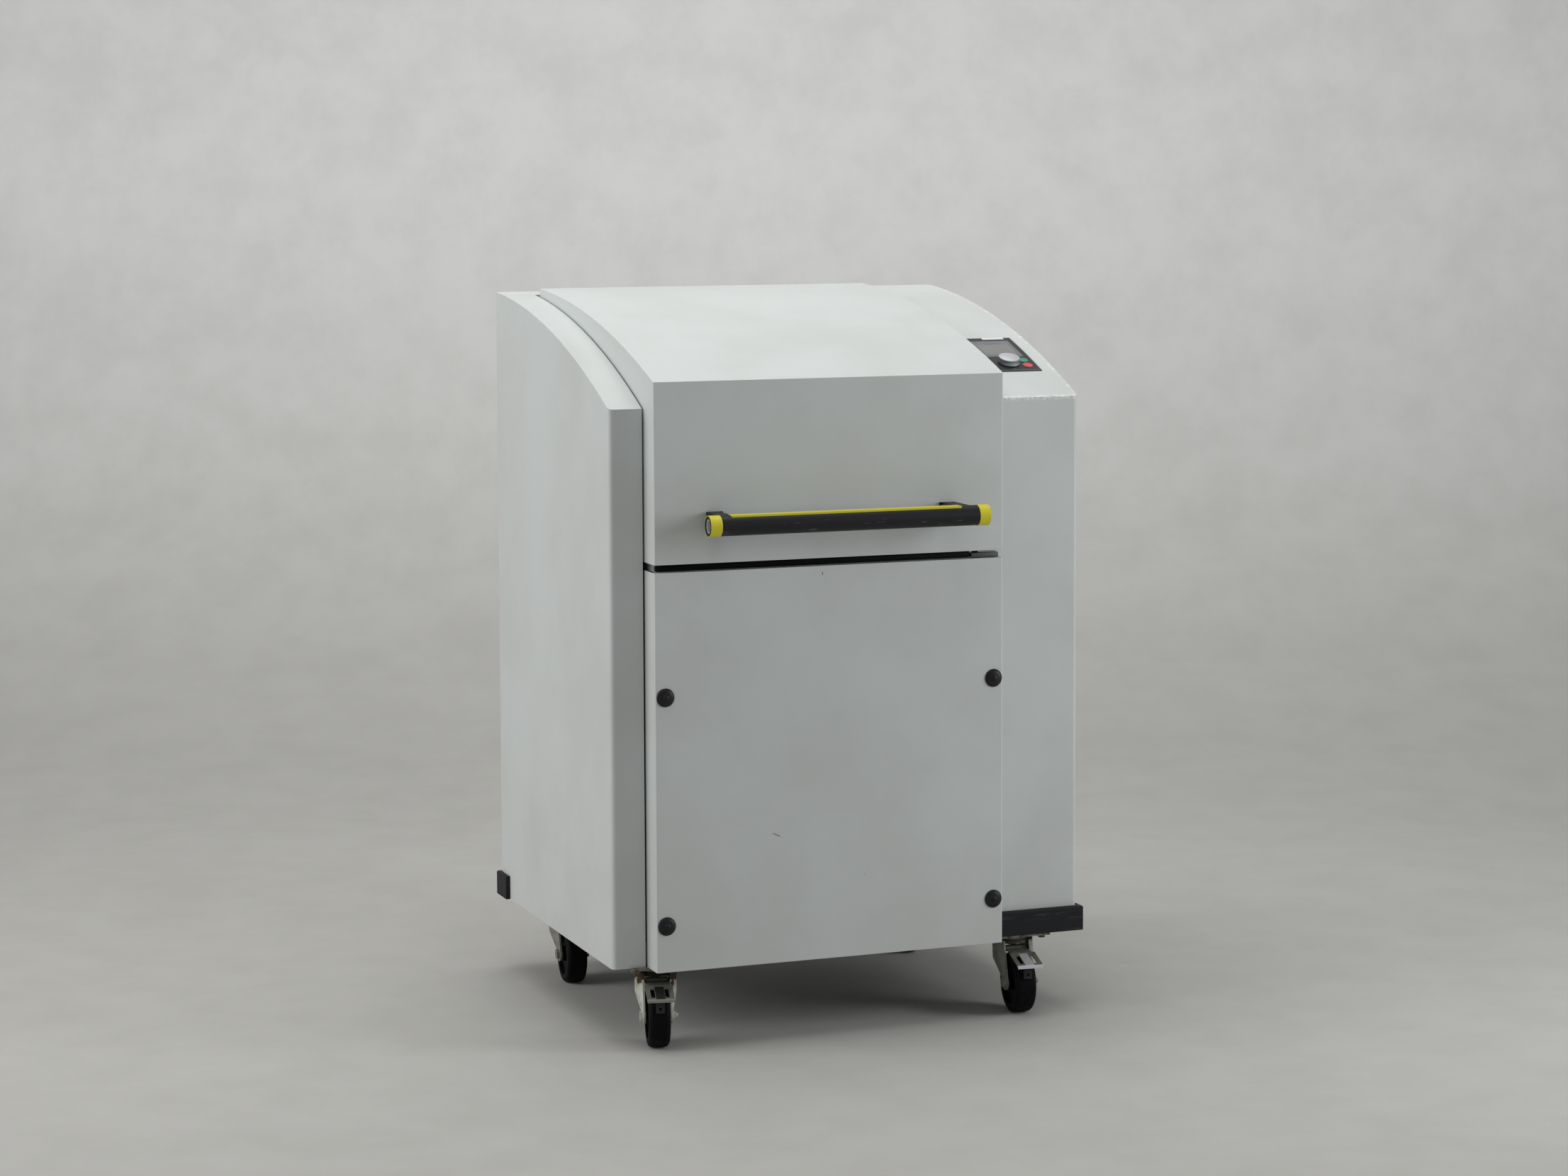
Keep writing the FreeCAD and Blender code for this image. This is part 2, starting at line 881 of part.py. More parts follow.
def handle_foot(centre, inward):
    """A bracket from the hood's face to the back of the tube, its top inner edge sloping."""
    half = foot_width / 2
    top = handle_z + handle_radius
    bottom = handle_z - foot_drop
    outline = [
        (centre - inward * half, bottom),
        (centre + inward * half, bottom),
        (centre + inward * half, top - foot_chamfer),
        (centre + inward * (half - foot_chamfer), top),
        (centre - inward * half, top),
    ]
    corners = [vec(x, handle_y, z) for x, z in outline]
    leg = Part.Face(Part.makePolygon(corners + corners[:1])).extrude(vec(0, hood_front - handle_y, 0))
    pad = box(
        centre - half,
        centre + half,
        hood_front - foot_flare,
        hood_front,
        bottom - foot_flare,
        top,
    )
    block = join([leg, pad])
    return block.cut([handle_rod(handle_radius, *handle_ends()), strip_bar()])


def handle_feet():
    left, right = foot_centres()
    return Part.makeCompound([handle_foot(left, 1), handle_foot(right, -1)])


def hood_brackets():
    """Pivot plates inside the hood's side walls, and the striker behind its front wall."""
    plates = []
    for x0 in (hood_left + sheet, hood_right - sheet - hinge_plate_thickness):
        x1 = x0 + hinge_plate_thickness
        bar = box(
            x0,
            x1,
            hinge_y - hinge_plate_length,
            hinge_y,
            hinge_z - hinge_plate_radius,
            hinge_z + hinge_plate_radius,
        )
        eye = rod(hinge_plate_radius, vec(x0, hinge_y, hinge_z), vec(x1, hinge_y, hinge_z))
        bore = rod(
            hinge_pin_radius + hinge_pin_clearance,
            vec(x0 - overrun, hinge_y, hinge_z),
            vec(x1 + overrun, hinge_y, hinge_z),
        )
        plates.append(join([bar, eye]).cut(bore))
    return Part.makeCompound(plates + [striker()])


def hinge_pin(wall_x, side):
    """A headed stub pin; side is +1 towards the middle from the left pod, -1 from the right."""
    reach = side_gap + sheet + hinge_plate_thickness + axial_clearance
    outer = wall_x - side * (sheet + hinge_pin_embed)
    inner = wall_x + side * reach
    head = inner + side * hinge_head_thickness
    stem = rod(hinge_pin_radius, vec(outer, hinge_y, hinge_z), vec(inner, hinge_y, hinge_z))
    cap = rod(hinge_head_radius, vec(inner, hinge_y, hinge_z), vec(head, hinge_y, hinge_z))
    return join([stem, cap])


def hinge_pins():
    return Part.makeCompound([hinge_pin(left_inner, 1), hinge_pin(right_inner, -1)])


def mast(x0):
    """An upright in the pod that carries one hinge pin."""
    body = box(
        x0,
        x0 + tube_size,
        hinge_y - tube_size / 2,
        hinge_y + tube_size / 2,
        frame_top,
        hinge_z + mast_top_above_hinge,
    )
    bore = rod(
        hinge_pin_radius + hinge_pin_clearance,
        vec(x0 - overrun, hinge_y, hinge_z),
        vec(x0 + tube_size + overrun, hinge_y, hinge_z),
    )
    return body.cut(bore)


def base_frame():
    """Welded square tube: floor ring, cross tubes, uprights, rails, motor plate, hinge masts."""
    left = left_face + sheet
    right = right_face - sheet
    back = back_face - sheet
    front = front_cross_start
    pieces = [
        box(left, left + tube_size, front, back, frame_bottom, frame_top),
        box(right - tube_size, right, front, back, frame_bottom, frame_top),
        box(left, right, front, front + cross_tube_width, frame_bottom, frame_top),
        box(left, right, back_cross_end - cross_tube_width, back_cross_end, frame_bottom, frame_top),
        box(left, right, back - tube_size, back, frame_bottom, frame_top),
    ]
    for x0 in (upright_left, upright_right):
        for y0 in (upright_front, upright_back):
            pieces.append(box(x0, x0 + tube_size, y0, y0 + tube_size, frame_top, deck_bottom))
        for z0 in (lower_rail_bottom, upper_rail_bottom):
            pieces.append(
                box(x0, x0 + tube_size, upright_front, upright_back + tube_size, z0, z0 + tube_size)
            )
    pieces.append(mast(left_inner - sheet - tube_size))
    pieces.append(mast(right_inner + sheet))
    pieces.append(motor_plate())
    frame = join(pieces)
    for x in (left, right):
        frame = frame.makeFillet(pod_corner_radius - sheet, upright_edges(frame, x, front))
    return frame


def motor_plate():
    y1 = upright_back + tube_size
    y0 = y1 - motor_plate_depth
    x1 = upright_right + tube_size
    plate = box(upright_left, x1, y0, y1, motor_plate_bottom, motor_plate_top)
    hole = post(
        motor_spigot_radius, centre_x, motor_y, motor_plate_bottom - overrun, motor_plate_top + overrun
    )
    return plate.cut(hole)


def corner_bumper(x_side, y_side, arm, thickness):
    """An angle strip round one bottom corner; the sides are +1 or -1."""
    x_out = x_side * (cabinet_width / 2 + bumper_thickness)
    x_skin = x_side * cabinet_width / 2
    y_skin = back_face if y_side > 0 else pod_front
    y_out = y_skin + y_side * thickness
    z0 = cabinet_bottom
    z1 = cabinet_bottom + bumper_height
    xs = sorted((x_out, x_out - x_side * arm))
    ys = sorted((y_out, y_out - y_side * (bumper_return + thickness)))
    block = box(xs[0], xs[1], ys[0], ys[1], z0, z1)
    xc = sorted((x_skin, x_skin - x_side * (arm + overrun)))
    yc = sorted((y_skin, y_skin - y_side * (bumper_return + thickness + overrun)))
    strip = block.cut(box(xc[0], xc[1], yc[0], yc[1], z0 - overrun, z1 + overrun))
    outer_edges = []
    near = bumper_radius / 10
    for edge in strip.Edges:
        places = [vertex.Point for vertex in edge.Vertexes]
        along_x = all(abs(p.y - y_out) < near and abs(p.z - z1) < near for p in places)
        along_y = all(abs(p.x - x_out) < near and abs(p.z - z1) < near for p in places)
        corner = all(abs(p.x - x_out) < near and abs(p.y - y_out) < near for p in places)
        if along_x or along_y or corner:
            outer_edges.append(edge)
    return strip.makeFillet(bumper_radius, outer_edges)


def corner_bumpers():
    arm = right_pod_width + bumper_thickness
    return Part.makeCompound(
        [
            corner_bumper(1, -1, arm, front_bumper_thickness),
            corner_bumper(1, 1, arm, bumper_thickness),
            corner_bumper(-1, 1, arm, bumper_thickness),
        ]
    )


def chamber_deck():
    """Bent deck sheet with its front apron and side flanges, round hole and striker notch."""
    pieces = [
        box(deck_left, deck_right, deck_front, deck_back, deck_bottom, deck_top),
        box(deck_left, deck_right, deck_front, deck_front + sheet, panel_top, deck_bottom),
    ]
    for x0 in (deck_left, deck_right - sheet):
        pieces.append(
            box(x0, x0 + sheet, deck_front, upright_front - frame_clearance, panel_top, deck_bottom)
        )
    hole = post(
        tub_radius + tub_wall + tub_clearance,
        centre_x,
        chamber_y,
        deck_bottom - overrun,
        deck_top + overrun,
    )
    notch = box(
        striker_x - striker_notch_gap,
        striker_x + striker_thickness + striker_notch_gap,
        deck_front - overrun,
        striker_y + striker_width / 2 + striker_notch_gap,
        panel_top - overrun,
        deck_top + overrun,
    )
    return join(pieces).cut([hole, notch])


def round_tub():
    """The drawn tub that hangs by its rim in the deck, with a hole for the hub in its floor."""
    floor_bottom = tub_floor_top - tub_floor
    rim_top = deck_top + tub_rim_thickness
    wall_radius = tub_radius + tub_wall
    body = post(wall_radius, centre_x, chamber_y, floor_bottom, rim_top)
    rim = post(wall_radius + tub_rim_width, centre_x, chamber_y, deck_top, rim_top)
    hollow = post(tub_radius, centre_x, chamber_y, tub_floor_top, rim_top + overrun)
    hub_hole = post(hub_radius + hub_clearance, centre_x, chamber_y, floor_bottom - overrun, deck_top)
    return join([body, rim]).cut([hollow, hub_hole])


def back_wall():
    """The sheet behind the chamber, bent into a gutter under the hood's rear edge."""
    wall_front = deck_back - deck_thickness
    gutter_bottom = back_wall_top - deck_thickness
    return join(
        [
            box(deck_left, deck_right, wall_front, deck_back, deck_top, back_wall_top),
            box(deck_left, deck_right, deck_back, gutter_back + sheet, gutter_bottom, back_wall_top),
        ]
    )


def chamber_tub():
    return Part.makeCompound([chamber_deck(), round_tub(), back_wall()])


def drive_plate():
    """Cast plate on the upper rails with a ribbed hub that holds the main shaft."""
    x0 = upright_left
    x1 = upright_right + tube_size
    plate = box(x0, x1, upright_front + tube_size, upright_back, drive_plate_bottom, drive_plate_top)
    hub = post(hub_radius, centre_x, chamber_y, hub_bottom, hub_top)
    pieces = [plate, hub]
    for index in range(rib_count):
        rib = box(
            centre_x,
            centre_x + rib_reach,
            chamber_y - rib_thickness / 2,
            chamber_y + rib_thickness / 2,
            drive_plate_top,
            drive_plate_top + rib_height,
        )
        rib.rotate(vec(centre_x, chamber_y, 0), vec(0, 0, 1), index * 360 / rib_count)
        pieces.append(rib)
    bore = post(
        shaft_radius + running_clearance, centre_x, chamber_y, hub_bottom - overrun, hub_top + overrun
    )
    return join(pieces).cut(bore)


def belt_level(index):
    """Bottom of one belt's land on the fixed pulley."""
    return hub_top + fixed_flange_thickness + index * land_pitch


def fixed_pulley():
    """The centre pulley that stands still: one land for each planet belt, flanges between."""
    pieces = [post(fixed_pulley_radius, centre_x, chamber_y, hub_top, fixed_pulley_top)]
    for index in range(station_count + 1):
        z0 = hub_top + index * land_pitch
        pieces.append(post(fixed_flange_radius, centre_x, chamber_y, z0, z0 + fixed_flange_thickness))
    bore = post(fixed_bore_radius, centre_x, chamber_y, hub_top - overrun, fixed_pulley_top + overrun)
    return join(pieces).cut(bore)


def loop_face(start, start_radius, end, end_radius, z):
    """The flat face inside a belt line round two circles in plan."""
    along = end - start
    distance = along.Length
    heading = math.atan2(along.y, along.x)
    spread = math.acos((start_radius - end_radius) / distance)

    def on(centre, radius, angle):
        return vec(centre.x + radius * math.cos(angle), centre.y + radius * math.sin(angle), z)

    a0 = on(start, start_radius, heading + spread)
    a1 = on(start, start_radius, heading + math.pi)
    a2 = on(start, start_radius, heading - spread)
    b0 = on(end, end_radius, heading - spread)
    b1 = on(end, end_radius, heading)
    b2 = on(end, end_radius, heading + spread)
    outline = [
        Part.Arc(a0, a1, a2).toShape(),
        Part.makeLine(a2, b0),
        Part.Arc(b0, b1, b2).toShape(),
        Part.makeLine(b2, a0),
    ]
    return Part.Face(Part.Wire(outline))


def belt(start, start_radius, end, end_radius, thickness, z0, z1):
    """A smooth belt round two pulleys, clear of both by the belt clearance."""
    r0 = start_radius + belt_clearance
    r1 = end_radius + belt_clearance
    outer = loop_face(start, r0 + thickness, end, r1 + thickness, z0).extrude(vec(0, 0, z1 - z0))
    inner = loop_face(start, r0, end, r1, z0 - overrun).extrude(vec(0, 0, z1 - z0 + 2 * overrun))
    return outer.cut(inner)


def station_place(index):
    angle = math.radians(station_turn + index * 360 / station_count)
    return (
        centre_x + station_radius * math.cos(angle),
        chamber_y + station_radius * math.sin(angle),
    )


def planet_belts():
    belts = []
    middle = vec(centre_x, chamber_y, 0)
    for index in range(station_count):
        x, y = station_place(index)
        z0 = belt_level(index) + (belt_land - planet_belt_width) / 2
        belts.append(
            belt(
                middle,
                fixed_pulley_radius,
                vec(x, y, 0),
                planet_pulley_radius,
                planet_belt_thickness,
                z0,
                z0 + planet_belt_width,
            )
        )
    return Part.makeCompound(belts)


def drive_belt():
    z0 = (drive_pulley_bottom + drive_pulley_top - belt_width) / 2
    return belt(
        vec(centre_x, chamber_y, 0),
        drive_pulley_radius,
        vec(centre_x, motor_y, 0),
        motor_pulley_radius,
        belt_thickness,
        z0,
        z0 + belt_width,
    )


def main_shaft():
    """The stepped shaft with the driven pulley at its foot and the sun wheel's flange on top."""
    rim_inner = drive_pulley_radius - drive_pulley_rim
    web_z = (drive_pulley_bottom + drive_pulley_top - drive_pulley_web) / 2
    pulley = ring(drive_pulley_radius, rim_inner, centre_x, chamber_y, drive_pulley_bottom, drive_pulley_top)
    return join(
        [
            pulley,
            post(rim_inner, centre_x, chamber_y, web_z, web_z + drive_pulley_web),
            post(drive_pulley_hub_radius, centre_x, chamber_y, drive_pulley_bottom, drive_pulley_top),
            post(shaft_radius, centre_x, chamber_y, drive_pulley_bottom, sun_bottom),
            post(shaft_flange_radius, centre_x, chamber_y, sun_flange_bottom, sun_bottom),
            post(shaft_spigot_radius, centre_x, chamber_y, sun_bottom, sun_top),
            post(shaft_nut_radius, centre_x, chamber_y, sun_top, sun_top + shaft_nut_height),
        ]
    )


def sun_wheel():
    """The carrier disc with a raised rim, four bearing seats and holes between them."""
    disc = post(sun_radius, centre_x, chamber_y, sun_bottom, sun_top)
    rim = ring(
        sun_radius, sun_radius - sun_rim_width, centre_x, chamber_y, sun_top, sun_top + sun_rim_height
    )
    cuts = [post(shaft_spigot_radius, centre_x, chamber_y, sun_bottom - overrun, sun_top + overrun)]
    for index in range(station_count):
        x, y = station_place(index)
        cuts.append(post(bearing_radius, x, y, sun_bottom - overrun, sun_top + overrun))
        x, y = station_place(index + 1 / 2)
        cuts.append(post(sun_hole_radius, x, y, sun_bottom - overrun, sun_top + overrun))
    return join([disc, rim]).cut(cuts)


def planet_bearings():
    bearings = []
    bore = planet_shaft_radius + running_clearance
    for index in range(station_count):
        x, y = station_place(index)
        barrel = post(bearing_radius, x, y, bearing_bottom, sun_top)
        flange = post(bearing_flange_radius, x, y, sun_top, bearing_top)
        hole = post(bore, x, y, bearing_bottom - overrun, bearing_top + overrun)
        bearings.append(join([barrel, flange]).cut(hole))
    return Part.makeCompound(bearings)


def jar_holder(index):
    """Planet shaft with its pulley, jar cup with two posts, and the crossbar over the jar."""
    x, y = station_place(index)
    level = belt_level(index)
    post_inner = lid_radius + post_gap
    post_outer = post_inner + post_thickness
    pieces = [
        post(planet_pulley_radius, x, y, level, level + belt_land),
        post(planet_shaft_radius, x, y, level, holder_bottom),
        post(holder_radius, x, y, holder_bottom, cup_floor),
        ring(holder_radius, jar_radius + jar_fit, x, y, cup_floor, cup_top),
    ]
    for side in (-1, 1):
        xs = sorted((x + side * post_inner, x + side * post_outer))
        pieces.append(box(xs[0], xs[1], y - post_width / 2, y + post_width / 2, holder_bottom, bar_top))
    cup = join(pieces)
    bar = box(x - post_inner, x + post_inner, y - bar_width / 2, y + bar_width / 2, bar_bottom, bar_top)
    boss = post(bar_boss_radius, x, y, bar_bottom, bar_top)
    screw_bore = post(
        clamp_screw_radius + running_clearance, x, y, bar_bottom - overrun, bar_top + overrun
    )
    crossbar = join([bar, boss]).cut(screw_bore)
    return Part.makeCompound([cup, crossbar])


def grinding_jar(index):
    x, y = station_place(index)
    body = post(jar_radius, x, y, cup_floor, jar_top)
    return body.cut(post(jar_bore_radius, x, y, cup_floor + jar_floor, jar_top + overrun))


def jar_lid(index):
    x, y = station_place(index)
    return join(
        [
            post(lid_radius, x, y, jar_top, jar_top + lid_thickness),
            post(lid_boss_radius, x, y, jar_top + lid_thickness, lid_top),
            post(jar_bore_radius - jar_fit, x, y, jar_top - lid_spigot_depth, jar_top),
        ]
    )


def clamp_screw(index):
    """Pressure pad, screw and lobed knob."""
    x, y = station_place(index)
    knob_bottom = bar_top + clamp_knob_gap
    knob_top = knob_bottom + clamp_knob_height
    pieces = [
        post(clamp_pad_radius, x, y, clamp_pad_bottom, clamp_pad_bottom + clamp_pad_height),
        post(clamp_screw_radius, x, y, clamp_pad_bottom, knob_bottom),
        post(clamp_knob_radius, x, y, knob_bottom, knob_top),
    ]
    for lobe in range(clamp_lobe_count):
        angle = math.radians(lobe * 360 / clamp_lobe_count)
        lobe_x = x + clamp_lobe_reach * math.cos(angle)
        lobe_y = y + clamp_lobe_reach * math.sin(angle)
        pieces.append(post(clamp_lobe_radius, lobe_x, lobe_y, knob_bottom, knob_top))
    return join(pieces)


def motor():
    """Finned motor hung under its plate, with a fan cowl below and a terminal box in front."""
    top = motor_plate_bottom
    flange_bottom = top - motor_flange_thickness
    cowl_top = top - motor_length + motor_cowl_length
    half = motor_flange_size / 2
    pieces = [
        box(centre_x - half, centre_x + half, motor_y - half, motor_y + half, flange_bottom, top),
        post(motor_spigot_radius, centre_x, motor_y, flange_bottom, motor_plate_top),
        post(motor_radius, centre_x, motor_y, top - motor_length, flange_bottom),
        post(motor_cowl_radius, centre_x, motor_y, top - motor_length, cowl_top),
    ]
    for index in range(motor_fin_count):
        fin = box(
            centre_x,
            centre_x + motor_radius + motor_fin_height,
            motor_y - motor_fin_thickness / 2,
            motor_y + motor_fin_thickness / 2,
            cowl_top,
            flange_bottom,
        )
        fin.rotate(vec(centre_x, motor_y, 0), vec(0, 0, 1), index * 360 / motor_fin_count)
        pieces.append(fin)
    box_z = (cowl_top + flange_bottom) / 2
    side = terminal_box_size / 2
    pieces.append(
        box(
            centre_x - motor_radius - terminal_box_depth,
            centre_x - motor_radius / 2,
            motor_y - side,
            motor_y + side,
            box_z - side,
            box_z + side,
        )
    )
    bore = post(
        motor_shaft_radius + running_clearance,
        centre_x,
        motor_y,
        motor_plate_top - motor_shaft_depth,
        motor_plate_top + overrun,
    )
    return join(pieces).cut(bore)


def motor_pulley():
    """The motor's shaft end with its pulley."""
    shaft_bottom = motor_plate_top - motor_shaft_depth + axial_clearance
    return join(
        [
            post(motor_shaft_radius, centre_x, motor_y, shaft_bottom, drive_pulley_top),
            post(motor_pulley_radius, centre_x, motor_y, drive_pulley_bottom, drive_pulley_top),
        ]
    )


def lock_places():
    """Left and right end of the lock body, and the left end of the bolt at rest."""
    body_right = striker_x - lock_body_gap
    bolt_right = striker_x - lock_bolt_gap
    return body_right - lock_body_length, body_right, bolt_right - lock_bolt_length


def lock_rod(radius, x0, x1):
    return rod(radius, vec(x0, striker_y, lock_z), vec(x1, striker_y, lock_z))


def lid_lock():
    """Solenoid lock under the deck, with the bore that guides its bolt."""
    x0, x1, bolt_left = lock_places()
    half = lock_body_width / 2
    bottom = lock_z - lock_collar_radius - lock_body_floor
    body = box(x0, x1, striker_y - half, striker_y + half, bottom, deck_bottom)
    bore = lock_rod(lock_bolt_radius + running_clearance, bolt_left - overrun, x1 + overrun)
    collar_run = lock_rod(lock_collar_radius + jar_fit, x0 - overrun, bolt_left + lock_body_length / 2)
    return body.cut([bore, collar_run])


def lock_bolt():
    x0, x1, bolt_left = lock_places()
    bolt_right = bolt_left + lock_bolt_length
    return join(
        [
            lock_rod(lock_bolt_radius, bolt_left, bolt_right),
            lock_rod(lock_collar_radius, bolt_left, bolt_left + lock_collar_length),
        ]
    )


def selector_place():
    return control_right - selector_side_inset, control_front + selector_front_inset


def key_places():
    """Place (x, y) of the start key and the stop key."""
    x = control_right - key_side_inset
    return (x, control_front + start_front_inset), (x, control_front + stop_front_inset)


def window_ends():
    y1 = control_back - window_back_inset
    x0 = control_centre_x - window_width / 2
    return x0, x0 + window_width, y1 - window_length, y1


def control_panel():
    """Film with a carrier through the roof, the display pane, and bores for the controls."""
    film = roof_band(control_front, control_back, 0, control_film, control_left, control_right)
    carrier = roof_band(
        control_front + control_margin,
        control_back - control_margin,
        -control_depth,
        0,
        control_left + control_margin,
        control_right - control_margin,
    )
    x0, x1, y0, y1 = window_ends()
    pane = roof_band(y0, y1, control_film - window_depth, control_film, x0, x1)
    x, y = selector_place()
    bore_radius = selector_shaft_radius + running_clearance
    cuts = [pane, roof_rod(bore_radius, x, y, -control_depth - overrun, overrun)]
    for x, y in key_places():
        cuts.append(roof_rod(key_radius + key_fit, x, y, control_film - key_depth, overrun))
    body = join([film, carrier]).cut(cuts)
    return Part.makeCompound([body, pane])


def selector_shaft():
    """The stem that carries the selector knob, with a collar under the panel."""
    x, y = selector_place()
    top = control_film + selector_gap + selector_shaft_above
    collar_top = -control_depth - key_travel - selector_gap
    return join(
        [
            roof_rod(selector_shaft_radius, x, y, collar_top - selector_shaft_below, top),
            roof_rod(selector_collar_radius, x, y, collar_top - selector_collar_height, collar_top),
        ]
    )


def selector_knob():
    """A low silver knob with a crowned top, on its stem."""
    x, y = selector_place()
    bottom = control_film + selector_gap
    foot = vec(x, *roof_point(y, bottom))
    crest = vec(x, *roof_point(y, bottom + selector_height))
    body = crowned_disc(selector_radius, selector_height, selector_crown, foot, crest - foot)
    bore_top = bottom + selector_shaft_above + axial_clearance
    return body.cut(roof_rod(selector_shaft_radius + running_clearance, x, y, bottom - overrun, bore_top))


def key(place):
    """A round push key, free by its travel at the bottom of its pocket."""
    x, y = place
    bottom = control_film - key_depth + key_travel + axial_clearance
    return roof_rod(key_radius, x, y, bottom, control_film + key_rise)


def inverter_box():
    """Frequency inverter against the inner wall of the right pod, with cooling fins."""
    x0 = right_inner + sheet
    x1 = x0 + inverter_width
    y0 = pod_front + inverter_setback
    z0 = cabinet_bottom + inverter_lift
    pieces = [box(x0, x1, y0, y0 + inverter_depth, z0, z0 + inverter_height)]
    pitch = (inverter_depth - inverter_fin_thickness) / (inverter_fin_count - 1)
    for index in range(inverter_fin_count):
        y = y0 + index * pitch
        pieces.append(
            box(x1, x1 + inverter_fin_depth, y, y + inverter_fin_thickness, z0, z0 + inverter_height)
        )
    return join(pieces)


def switch_axis():
    """Pivot (x, y, z) of the mains switch."""
    x, z = inlet_places()
    return x, back_face + inlet_thickness - switch_pivot_depth, z + switch_rise


def power_inlet():
    """Inlet housing in the rear cover: a socket with three contacts under the switch's pocket."""
    x, z = inlet_places()
    half_w = inlet_width / 2
    half_h = inlet_height / 2
    flange = box(x - half_w, x + half_w, back_face, back_face + inlet_thickness, z - half_h, z + half_h)
    half_w = half_w - inlet_margin
    half_h = half_h - inlet_margin
    body = box(x - half_w, x + half_w, back_face - inlet_depth, back_face, z - half_h, z + half_h)
    face = back_face + inlet_thickness
    socket_z = z - socket_drop
    socket = box(
        x - socket_width / 2,
        x + socket_width / 2,
        face - socket_depth,
        face + overrun,
        socket_z - socket_height / 2,
        socket_z + socket_height / 2,
    )
    pocket_half = switch_width / 2 + switch_clearance
    pocket = switch_rod(switch_radius + switch_clearance, pocket_half)
    bearing = switch_rod(switch_pin_radius + running_clearance, pocket_half + switch_pin_length)
    housing = join([flange, body]).cut([socket, pocket, bearing])
    contacts = []
    for step in (-1, 0, 1):
        middle = x + step * contact_spacing
        contacts.append(
            box(
                middle - contact_width / 2,
                middle + contact_width / 2,
                face - socket_depth,
                face - inlet_thickness,
                socket_z - contact_height / 2,
                socket_z + contact_height / 2,
            )
        )
    return join([housing] + contacts)


def switch_rod(radius, half):
    """A rod along the switch's pivot, centred on it."""
    x, y, z = switch_axis()
    return rod(radius, vec(x - half, y, z), vec(x + half, y, z))


def mains_switch():
    """A rocker: a drum on two stub pins, with two faces that lean together, switched off."""
    x, y, z = switch_axis()
    half = switch_width / 2
    pins = switch_rod(switch_pin_radius, half + switch_clearance + switch_pin_length)
    rocker = join([switch_rod(switch_radius, half), pins])
    apex = vec(x, y + switch_pivot_depth, z)
    cutters = []
    for side in (-1, 1):
        block = box(
            x - half - overrun,
            x + half + overrun,
            apex.y,
            apex.y + 2 * switch_radius,
            z - 2 * switch_radius,
            z + 2 * switch_radius,
        )
        block.rotate(apex, vec(1, 0, 0), side * switch_tilt)
        cutters.append(block)
    rocker = rocker.cut(cutters[0].common(cutters[1]))
    rocker.rotate(vec(x, y, z), vec(1, 0, 0), -switch_tilt)
    return rocker


def caster_places():
    """Name, swivel place and turn of each caster."""
    left = left_face + caster_left_inset
    right = right_face - caster_right_inset
    return (
        ("front_left", left, front_caster_y, front_left_turn),
        ("front_right", right, front_caster_y, front_right_turn),
        ("back_left", left, back_caster_y, back_left_turn),
        ("back_right", right, back_caster_y, back_right_turn),
    )


def turned(shape, x, y, turn):
    """A caster piece from its own frame to its place under the cabinet."""
    placed = shape.copy()
    placed.rotate(vec(0, 0, 0), vec(0, 0, 1), -turn)
    placed.translate(vec(x, y, 0))
    return placed


def caster_plate():
    """Mounting plate with raceway, kingpin and four bolt heads, bolted under the frame."""
    length = caster_plate_length / 2
    width = caster_plate_width / 2
    pieces = [
        box(-length, length, -width, width, plate_bottom, cabinet_bottom),
        post(race_radius, 0, 0, race_bottom, plate_bottom),
        post(kingpin_radius, 0, 0, fork_disc_bottom - axial_clearance, race_bottom),
        post(
            kingpin_head_radius,
            0,
            0,
            fork_disc_bottom - axial_clearance - kingpin_head_thickness,
            fork_disc_bottom - axial_clearance,
        ),
    ]
    for x in (-length + plate_bolt_inset, length - plate_bolt_inset):
        for y in (-width + plate_bolt_inset, width - plate_bolt_inset):
            pieces.append(hexagon(plate_bolt_radius, x, y, plate_bottom - plate_bolt_height, plate_bottom))
    return join(pieces)


def hexagon(radius, x, y, z0, z1):
    corners = []
    for index in range(hexagon_sides + 1):
        angle = 2 * math.pi * index / hexagon_sides
        corners.append(vec(x + radius * math.cos(angle), y + radius * math.sin(angle), z0))
    return Part.Face(Part.makePolygon(corners)).extrude(vec(0, 0, z1 - z0))


def caster_fork():
    """Disc under the raceway, two tapering legs, and the axle with its nuts."""
    disc = ring(
        fork_disc_radius, kingpin_radius + running_clearance, 0, 0, fork_disc_bottom, fork_disc_top
    )
    eye = vec(0, -caster_trail, wheel_radius)
    pieces = [disc]
    for side in (-1, 1):
        pieces.append(fork_leg(side))
        nut_start = vec(side * fork_leg_outer, eye.y, eye.z)
        nut_end = vec(side * (fork_leg_outer + axle_nut_height), eye.y, eye.z)
        pieces.append(rod(axle_nut_radius, nut_start, nut_end))
    axle = rod(axle_radius, vec(-fork_leg_inner, eye.y, eye.z), vec(fork_leg_inner, eye.y, eye.z))
    tip = fork_leg_outer + 2 * axle_nut_height
    bolt = rod(axle_bolt_radius, vec(-fork_leg_outer, eye.y, eye.z), vec(tip, eye.y, eye.z))
    return join(pieces + [axle, bolt])


def fork_leg(side):
    """One leg: a bulged cheek under the disc that narrows to a flat eye around the axle."""
    eye_y = -caster_trail
    eye_z = wheel_radius
    cheek = Part.makeLoft(
        [
            leg_section(side, fork_disc_top, -fork_leg_front, fork_leg_back, fork_bulge),
            leg_section(
                side, fork_shoulder_height, -fork_shoulder_front, fork_shoulder_back, fork_bulge
            ),
            leg_section(
                side, eye_z, eye_y - fork_eye_radius, eye_y + fork_eye_radius, fork_eye_bulge
            ),
        ],
        True,
        True,
    )
    inner = vec(side * fork_leg_inner, eye_y, eye_z)
    outer = vec(side * fork_leg_outer, eye_y, eye_z)
    return join([cheek, rod(fork_eye_radius, inner, outer)])


